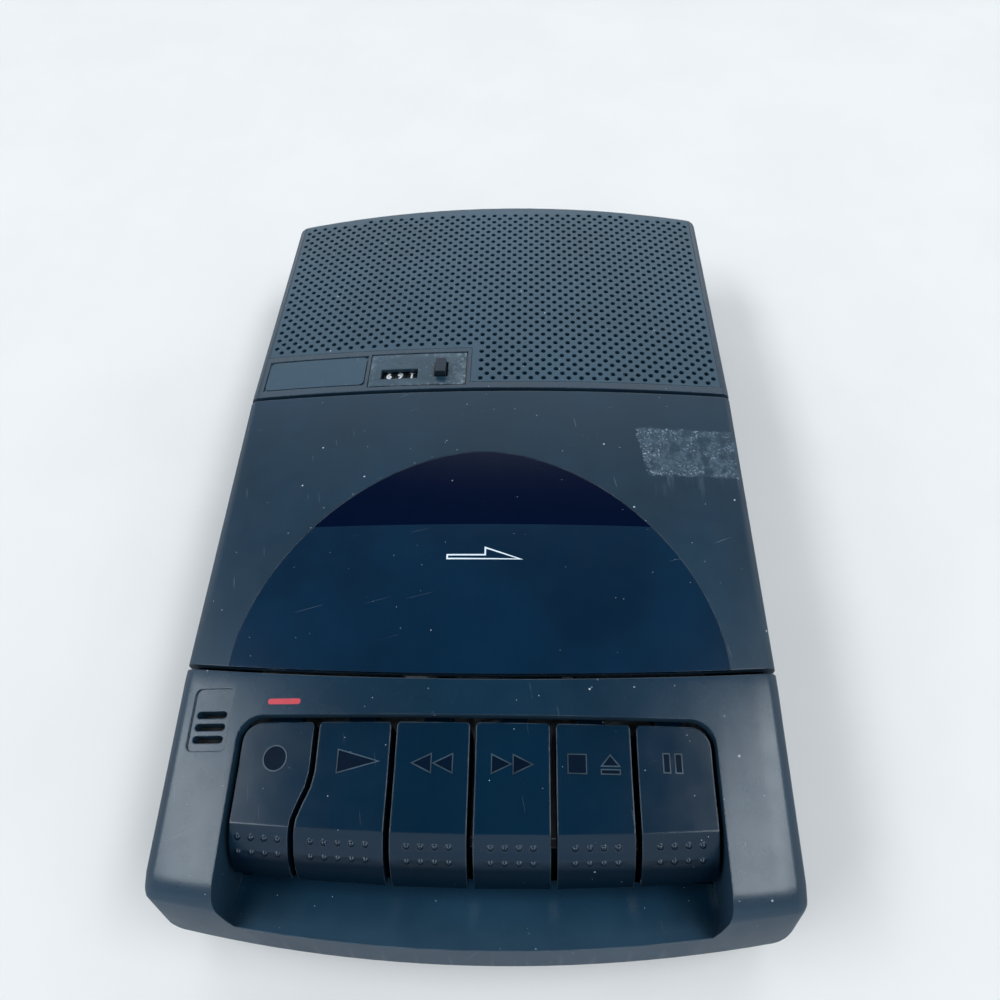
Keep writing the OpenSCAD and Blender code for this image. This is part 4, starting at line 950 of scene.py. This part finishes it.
@dataclass
class KeyRow:
    """The six piano keys with their raised signs."""

    nodes: dict[str, bpy.types.Object]
    palette: Palette
    mark_y_mm: float = -84.6
    bow: float = 0.00045
    rim_mm: float = 0.28
    rim_height_mm: float = 0.12
    crease: float = 15.0

    def build_mark(self, mark: KeyMark) -> None:
        """Raise one key's sign: a thin rim, lightened as a painted highlight, round a dark field.

        Args:
            mark: The key's sign.
        """
        skin = Skin(self.nodes[mark.value])
        middle = mark.middle_mm
        along = self.mark_y_mm + self.bow * middle ** 2
        placed = [[(x + middle, y + along) for x, y in outline] for outline in mark.outlines()]
        rims = [(outline, drawn_in(outline, self.rim_mm)) for outline in placed]
        fields = [(inner, None) for _, inner in rims]
        pieces = (
            Relief(skin, self.rim_height_mm).lay(f"{mark.value}_rim", rims, self.palette.rim),
            Relief(skin, PRINT_MM).lay(f"{mark.value}_sign", fields, self.palette.mark),
        )
        for piece in pieces:
            fasten(piece, mark.value)

    def dress(self) -> None:
        """Finish the keys and add their signs."""
        for mark in KeyMark:
            coat(self.nodes[mark.value], self.palette.key, self.crease)
            self.build_mark(mark)
            LOG.info("key %s dressed", mark.value)


def coat(thing: bpy.types.Object, material: bpy.types.Material, crease: float = 32.0) -> None:
    """Give a CAD node its finish and smooth its round faces.

    Args:
        thing: The node's object.
        material: Its finish.
        crease: Angle above which an edge stays sharp, in degrees.
    """
    thing.data.materials.clear()
    thing.data.materials.append(material)
    weld = thing.modifiers.new("weld", "WELD")
    weld.merge_threshold = WELD_MM * MM
    split = thing.modifiers.new("crease", "EDGE_SPLIT")
    split.split_angle = math.radians(crease)
    for face in thing.data.polygons:
        face.use_smooth = True


@dataclass
class Shell:
    """Both case halves, the speaker panel and the fittings of the counter field."""

    nodes: dict[str, bpy.types.Object]
    palette: Palette
    label_mm: Box = ((-72.3, 31.75), (-39.6, 44.0))
    label_r_mm: float = 1.6
    label_height_mm: float = 0.42
    plate_height_mm: float = 0.4
    window_mm: Box = ((-34.2, 33.6), (-22.2, 37.8))
    stub_mm: Box = ((-16.9, 34.0), (-12.5, 40.4))
    narrowest_mm: float = 0.05
    record_bar_mm: Box = ((-52.0, -71.0), (-43.6, -69.6))
    record_bar_r_mm: float = 0.6

    def build_label(self) -> None:
        """Make the blank plaque beside the counter."""
        outline = rounded_box(*self.label_mm, self.label_r_mm)
        relief = Relief(Skin(self.nodes["top_case"]), self.label_height_mm)
        piece = relief.lay("counter_label", [(outline, None)], self.palette.grille)
        fasten(piece, "case")

    def build_plate(self) -> None:
        """Make the scuffed plate round the counter's window and the reset button."""
        (x0, y0), (x1, y1) = COUNTER_PLATE_MM
        (wx0, wy0), (wx1, wy1) = self.window_mm
        (sx0, sy0), (sx1, sy1) = self.stub_mm
        low, high = min(wy0, sy0), max(wy1, sy1)
        bars = [
            ((x0, y0), (x1, low)), ((x0, high), (x1, y1)), ((x0, low), (wx0, high)),
            ((wx1, low), (sx0, high)), ((sx1, low), (x1, high)), ((wx0, wy1), (wx1, high)),
            ((sx0, low), (sx1, sy0)),
        ]
        shapes = [
            ([(a, b), (c, b), (c, d), (a, d)], None)
            for (a, b), (c, d) in bars if min(c - a, d - b) > self.narrowest_mm]
        relief = Relief(Skin(self.nodes["top_case"]), self.plate_height_mm)
        fasten(relief.lay("counter_plate", shapes, self.palette.scuffed), "case")

    def build_record_bar(self) -> None:
        """Print the red bar behind the record key."""
        outline = rounded_box(*self.record_bar_mm, self.record_bar_r_mm)
        relief = Relief(Skin(self.nodes["top_case"]), PRINT_MM)
        fasten(relief.lay("record_bar", [(outline, None)], self.palette.red_ink), "case")

    def dress(self) -> None:
        """Finish the case's nodes and add the fittings."""
        for name in ("top_case", "bottom_case", "battery_door", "carry_handle"):
            coat(self.nodes[name], self.palette.case)
        coat(self.nodes["speaker_grille"], self.palette.grille)
        for name in ("reset_button", "volume_wheel", "ear_jack", "mic_jack", "dc_jack"):
            coat(self.nodes[name], self.palette.control)
        coat(self.nodes["rubber_feet"], self.palette.rubber)
        coat(self.nodes["case_screws"], self.palette.steel)
        self.build_label()
        self.build_plate()
        self.build_record_bar()
        LOG.info("case dressed")


@dataclass
class Lid:
    """The cassette lid with its window and the printed arrow."""

    nodes: dict[str, bpy.types.Object]
    palette: Palette
    arrow_mm: Outline = field(default_factory=lambda: [
        (-9.0, -31.4), (12.0, -31.4), (1.4, -27.5), (1.4, -29.8), (-9.0, -29.8)])
    stroke_mm: float = 0.45

    def build_arrow(self) -> None:
        """Print the outlined arrow that shows which way the tape runs."""
        shape = [(self.arrow_mm, drawn_in(self.arrow_mm, self.stroke_mm))]
        relief = Relief(Skin(self.nodes["lid_window"]), PRINT_MM)
        fasten(relief.lay("tape_arrow", shape, self.palette.white_ink), "lid")

    def dress(self) -> None:
        """Finish the lid's nodes and print the arrow."""
        coat(self.nodes["cassette_lid"], self.palette.lid)
        coat(self.nodes["cassette_holder"], self.palette.lid)
        coat(self.nodes["lid_window"], self.palette.window)
        coat(self.nodes["lid_hinge_pins"], self.palette.steel)
        self.build_arrow()
        LOG.info("lid dressed")


@dataclass
class TapeCounter:
    """Three number wheels with ten digits each."""

    nodes: dict[str, bpy.types.Object]
    palette: Palette
    shown: dict[str, int] = field(default_factory=lambda: {
        "counter_hundreds": 6, "counter_tens": 9, "counter_units": 1})
    digits: int = 10
    digit_h_mm: float = 2.5
    font_scale: float = 1.38
    bolder_mm: float = 0.13
    slice_mm: float = 0.25
    view_tilt: float = -10.0
    ink_mm: float = 0.04
    sink_mm: float = 0.02

    def flat_digit(self, digit: int) -> bmesh.types.BMesh:
        """Make one digit.

        Args:
            digit: The digit.

        Returns:
            Its mesh in the XY plane, centred, in metres.
        """
        curve = bpy.data.curves.new("digit", "FONT")
        curve.body = str(digit)
        curve.size = self.font_scale * self.digit_h_mm * MM
        curve.align_x = "CENTER"
        curve.align_y = "CENTER"
        curve.offset = self.bolder_mm * MM
        curve.resolution_u = 4
        thing = bpy.data.objects.new("digit", curve)
        bpy.context.scene.collection.objects.link(thing)
        bpy.context.view_layer.update()
        mesh = thing.evaluated_get(bpy.context.evaluated_depsgraph_get()).to_mesh()
        form = bmesh.new()
        form.from_mesh(mesh)
        bpy.data.objects.remove(thing)
        bpy.data.curves.remove(curve)
        heights = [vert.co.y for vert in form.verts]
        middle_y = (max(heights) + min(heights)) / 2.0
        for vert in form.verts:
            vert.co.y -= middle_y
        return form

    def build_wheel(self, node: str) -> None:
        """Print the ten digits round one wheel.

        Args:
            node: The wheel's node.
        """
        low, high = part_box(node)
        centre = (low + high) / 2.0
        radius = (high.z - low.z) / 2.0
        whole = bmesh.new()
        for digit in range(self.digits):
            form = self.flat_digit(digit)
            cut = -self.digit_h_mm
            while cut < self.digit_h_mm:
                bmesh.ops.bisect_plane(
                    form, geom=form.verts[:] + form.edges[:] + form.faces[:],
                    plane_co=(0.0, cut * MM, 0.0), plane_no=(0.0, 1.0, 0.0))
                cut += self.slice_mm
            upper = extruded(form, form.faces[:])
            turn = math.radians(360.0 / self.digits * (self.shown[node] - digit) + self.view_tilt)
            for vert in form.verts:
                angle = turn - vert.co.y / radius
                far = radius + (self.ink_mm if vert in upper else -self.sink_mm) * MM
                vert.co = Vector((
                    centre.x + vert.co.x, centre.y - far * math.sin(angle), centre.z + far * math.cos(angle)))
            mesh = bpy.data.meshes.new("digit")
            form.to_mesh(mesh)
            form.free()
            whole.from_mesh(mesh)
            bpy.data.meshes.remove(mesh)
        fasten(add_object(f"{node}_digits", whole, self.palette.white_ink), node)

    def dress(self) -> None:
        """Finish the counter and print its wheels."""
        for node in self.shown:
            coat(self.nodes[node], self.palette.wheel)
            self.build_wheel(node)
        coat(self.nodes["counter_frame"], self.palette.control)
        coat(self.nodes["counter_shaft"], self.palette.steel)
        LOG.info("counter dressed")


@dataclass
class SpringComb:
    """The steel comb under the keys: a fixed strip, and a leaf for each key."""

    palette: Palette
    thick_mm: float = 0.5
    strip_mm: float = 4.0
    strip_r_mm: float = 1.0
    strip_edge_mm: float = 0.1
    leaf_mm: float = 5.0
    tip_mm: float = 3.6
    bend_r_mm: float = 1.6
    bend_y_mm: float = -92.5
    foot_y_mm: float = -96.5
    tip_yz_mm: Point = (-85.0, 37.1)
    arc_steps: int = 6
    rise_steps: int = 12

    def leaf_line(self, floor_mm: float) -> list[Vector]:
        """Middle line of a leaf from its foot on the strip to its tip, along Y and Z.

        Args:
            floor_mm: Height of the strip's middle.

        Returns:
            The points, in millimetres.
        """
        corner = Vector((self.bend_y_mm, floor_mm))
        rise = (Vector(self.tip_yz_mm) - corner).normalized()
        slope = math.atan2(rise.y, rise.x)
        back = self.bend_r_mm * math.tan(slope / 2.0)
        points = [Vector((self.foot_y_mm, floor_mm))]
        for step in range(self.arc_steps + 1):
            angle = slope * step / self.arc_steps
            points.append(Vector((
                corner.x - back + self.bend_r_mm * math.sin(angle),
                floor_mm + self.bend_r_mm * (1.0 - math.cos(angle)))))
        start, tip = points[-1], Vector(self.tip_yz_mm)
        points += [start.lerp(tip, step / self.rise_steps) for step in range(1, self.rise_steps + 1)]
        return points

    def build_leaf(self, key: str, floor_mm: float) -> bpy.types.Object:
        """Make the leaf under one key.

        Args:
            key: The key's body and node.
            floor_mm: Height of the strip's middle.

        Returns:
            The leaf.
        """
        middle = KeyMark(key).middle_mm
        line = self.leaf_line(floor_mm)
        form = bmesh.new()
        rings = []
        for i, here in enumerate(line):
            ahead = (line[min(i + 1, len(line) - 1)] - line[max(i - 1, 0)]).normalized()
            side = Vector((-ahead.y, ahead.x)) * self.thick_mm / 2.0
            half = (self.leaf_mm + (self.tip_mm - self.leaf_mm) * i / (len(line) - 1)) / 2.0
            corners = ((-half, 1.0), (half, 1.0), (half, -1.0), (-half, -1.0))
            rings.append([
                form.verts.new(((middle + x) * MM, (here.x + side.x * s) * MM, (here.y + side.y * s) * MM))
                for x, s in corners])
        for first, second in zip(rings, rings[1:]):
            for i in range(4):
                j = (i + 1) % 4
                form.faces.new((first[i], first[j], second[j], second[i]))
        form.faces.new(rings[0])
        form.faces.new(rings[-1])
        piece = add_object(f"{key}_leaf_spring", form, self.palette.steel)
        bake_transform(piece)
        return piece

    def build_strip(self) -> bpy.types.Object:
        """Make the strip that carries the leaves, with rounded corners and softened edges.

        Returns:
            The strip.
        """
        low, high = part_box("key_spring_comb")
        outline = rounded_box(
            (low.x / MM, low.y / MM), (high.x / MM, low.y / MM + self.strip_mm), self.strip_r_mm)
        form = bmesh.new()
        face = form.faces.new([form.verts.new((x * MM, y * MM, low.z)) for x, y in outline])
        for vert in extruded(form, [face]):
            vert.co.z += self.thick_mm * MM
        level = self.thick_mm * MM / 2.0
        rim = [e for e in form.edges if abs(e.verts[0].co.z - e.verts[1].co.z) < level]
        bmesh.ops.bevel(form, geom=rim, offset=self.strip_edge_mm * MM, segments=2, affect="EDGES")
        piece = add_object("key_spring_strip", form, self.palette.steel)
        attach(piece, "case")
        return piece

    def dress(self) -> None:
        """Put the strip and the leaves in place of the plain comb."""
        low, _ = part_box("key_spring_comb")
        pieces = [self.build_strip()]
        pieces += [self.build_leaf(mark.value, low.z / MM + self.thick_mm / 2.0) for mark in KeyMark]
        for piece in pieces:
            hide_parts("key_spring_comb")
        LOG.info("spring comb built")


@dataclass
class Mechanism:
    """The deck, drive, speaker and electronics inside the case."""

    nodes: dict[str, bpy.types.Object]
    palette: Palette

    def dress(self) -> None:
        """Finish the inner nodes."""
        finishes = {
            "steel": ("key_axle", "deck_plate", "deck_posts", "head_slide", "pinch_arm",
                      "capstan_shaft", "eject_slide", "battery_contacts", "deck_screws", "speaker_screws",
                      "record_play_head"),
            "iron": ("flywheel", "motor", "speaker_magnet", "speaker_basket", "volume_pot"),
            "brass": ("capstan_bearing", "motor_pulley"),
            "hub": ("supply_hub", "takeup_hub", "erase_head"),
            "rubber": ("pinch_roller", "drive_belt"),
            "paper": ("speaker_cone", "mic_capsule"),
            "board": ("circuit_board", "board_parts"),
        }
        for finish, names in finishes.items():
            for name in names:
                coat(self.nodes[name], getattr(self.palette, finish))
        LOG.info("mechanism dressed")


@dataclass
class Studio:
    """Pale table, soft light and the camera."""

    camera_mm: Colour = (15.57, -125.73, 237.94)
    pitch: float = 58.565
    yaw: float = -5.191
    roll: float = -4.592
    focal_px: float = 765.0
    frame_px: float = 1000.0
    sensor_mm: float = 36.0
    table_colour: Colour = (0.815, 0.777, 0.763)
    light_colour: Colour = (0.86, 0.95, 1.0)
    dark_level: float = 0.02
    front_level: float = 0.6
    rear_level: float = 1.9
    side_level: float = 1.1
    pale_colour: Colour = (0.79, 0.82, 0.86)
    pale_height: tuple[float, float] = (0.35, 0.12)
    table_half: float = 3.0
    table_uneven: float = 0.015
    aim: Colour = (0.0, 0.0, 0.03)

    def build_camera(self) -> None:
        """Place the camera at the photograph's angle."""
        lens = bpy.data.cameras.new("camera")
        lens.sensor_width = self.sensor_mm
        lens.lens = self.focal_px / self.frame_px * self.sensor_mm
        lens.clip_start = 0.01
        thing = bpy.data.objects.new("camera", lens)
        bpy.context.scene.collection.objects.link(thing)
        level = Matrix(((1.0, 0.0, 0.0), (0.0, 0.0, -1.0), (0.0, 1.0, 0.0)))
        view = (
            Matrix.Rotation(math.radians(self.roll), 3, "Z")
            @ Matrix.Rotation(math.radians(self.pitch), 3, "X")
            @ level
            @ Matrix.Rotation(math.radians(self.yaw), 3, "Z")
        )
        right, down, ahead = (Vector(row) for row in view)
        turn = Matrix((right, -down, -ahead)).transposed().to_4x4()
        thing.matrix_world = Matrix.Translation(Vector(self.camera_mm) * MM) @ turn
        bpy.context.scene.camera = thing

    def build_table(self) -> None:
        """Lay a wide pale table under the recorder."""
        form = bmesh.new()
        bmesh.ops.create_grid(form, x_segments=4, y_segments=4, size=self.table_half)
        graph = Graph.material("pale_table")
        weave = graph.noise(0.9, 2.0)
        tone = graph.uneven(
            graph.ramp(graph.noise(60.0, 3.0), 0.3, 0.7), self.table_colour, self.table_uneven)
        material = graph.finish({
            "Base Color": tone, "Roughness": 0.85, "Normal": graph.bump(weave, 0.01)})
        add_object("table", form, material)

    def build_world(self) -> None:
        """Surround the scene with a soft room: dark overhead, lighter all round and pale behind the table."""
        world = bpy.data.worlds.new("room")
        bpy.context.scene.world = world
        graph = Graph(world, "Generated")
        across, along = graph.axis(0), graph.axis(1)
        front = graph.ramp(along, -0.4, -0.55) * graph.ramp(along, -0.97, -0.85) * self.front_level
        rear = graph.ramp(along, 0.52, 0.72) * graph.ramp(abs(across), 0.75, 0.5) * self.rear_level
        side = graph.ramp(abs(across), 0.6, 0.8) * self.side_level
        level = front.peak(rear).peak(side).peak(self.dark_level)
        brightest = max(self.front_level, self.rear_level, self.side_level)
        glow = graph.blend(level / brightest, BLACK, scaled(self.light_colour, brightest))
        seen, mirrored, passed = (
            graph.node("ShaderNodeLightPath", out=f"Is {kind} Ray")
            for kind in ("Camera", "Glossy", "Transmission"))
        pale = seen.peak(mirrored.peak(passed) * graph.ramp(graph.axis(2), *self.pale_height))
        glow = graph.blend(pale, glow, self.pale_colour)
        shine = graph.node("ShaderNodeBackground", sockets={"Color": glow, "Strength": 1.0})
        graph.node("ShaderNodeOutputWorld", sockets={"Surface": shine})

    def build_lamp(self, name: str, spot: Colour, size: Point, watts: float) -> None:
        """Hang one soft lamp that faces the recorder.

        Args:
            name: Name of the lamp.
            spot: Where it hangs, in metres.
            size: Its two sides, in metres.
            watts: Its power.
        """
        light = bpy.data.lights.new(name, "AREA")
        light.shape = "RECTANGLE"
        light.size, light.size_y = size
        light.energy = watts
        light.color = self.light_colour
        thing = bpy.data.objects.new(name, light)
        bpy.context.scene.collection.objects.link(thing)
        aim = Vector(self.aim) - Vector(spot)
        thing.matrix_world = Matrix.Translation(spot) @ aim.to_track_quat("-Z", "Y").to_matrix().to_4x4()

    def build(self) -> None:
        """Set up the table, the room, the lamps and the camera."""
        bpy.context.scene.view_settings.view_transform = "Standard"
        self.build_camera()
        self.build_table()
        self.build_world()
        self.build_lamp("left_softbox", spot=(-1.827, -0.375, 2.348), size=(1.95, 0.69), watts=38.0)
        self.build_lamp("right_softbox", spot=(1.55, -0.375, 2.54), size=(1.95, 0.667), watts=43.0)
        LOG.info("studio built")


def main() -> None:
    """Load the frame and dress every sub-assembly."""
    logging.basicConfig(level=logging.INFO, format="%(name)s: %(message)s")
    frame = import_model()
    nodes = frame["nodes"]
    palette = Palette(print_line_mm=-20.4)
    parts = (
        Shell(nodes, palette), Lid(nodes, palette), KeyRow(nodes, palette), TapeCounter(nodes, palette),
        SpringComb(palette), Mechanism(nodes, palette),
    )
    for part in parts:
        part.dress()
    Studio().build()


if __name__ == "__main__":
    main()
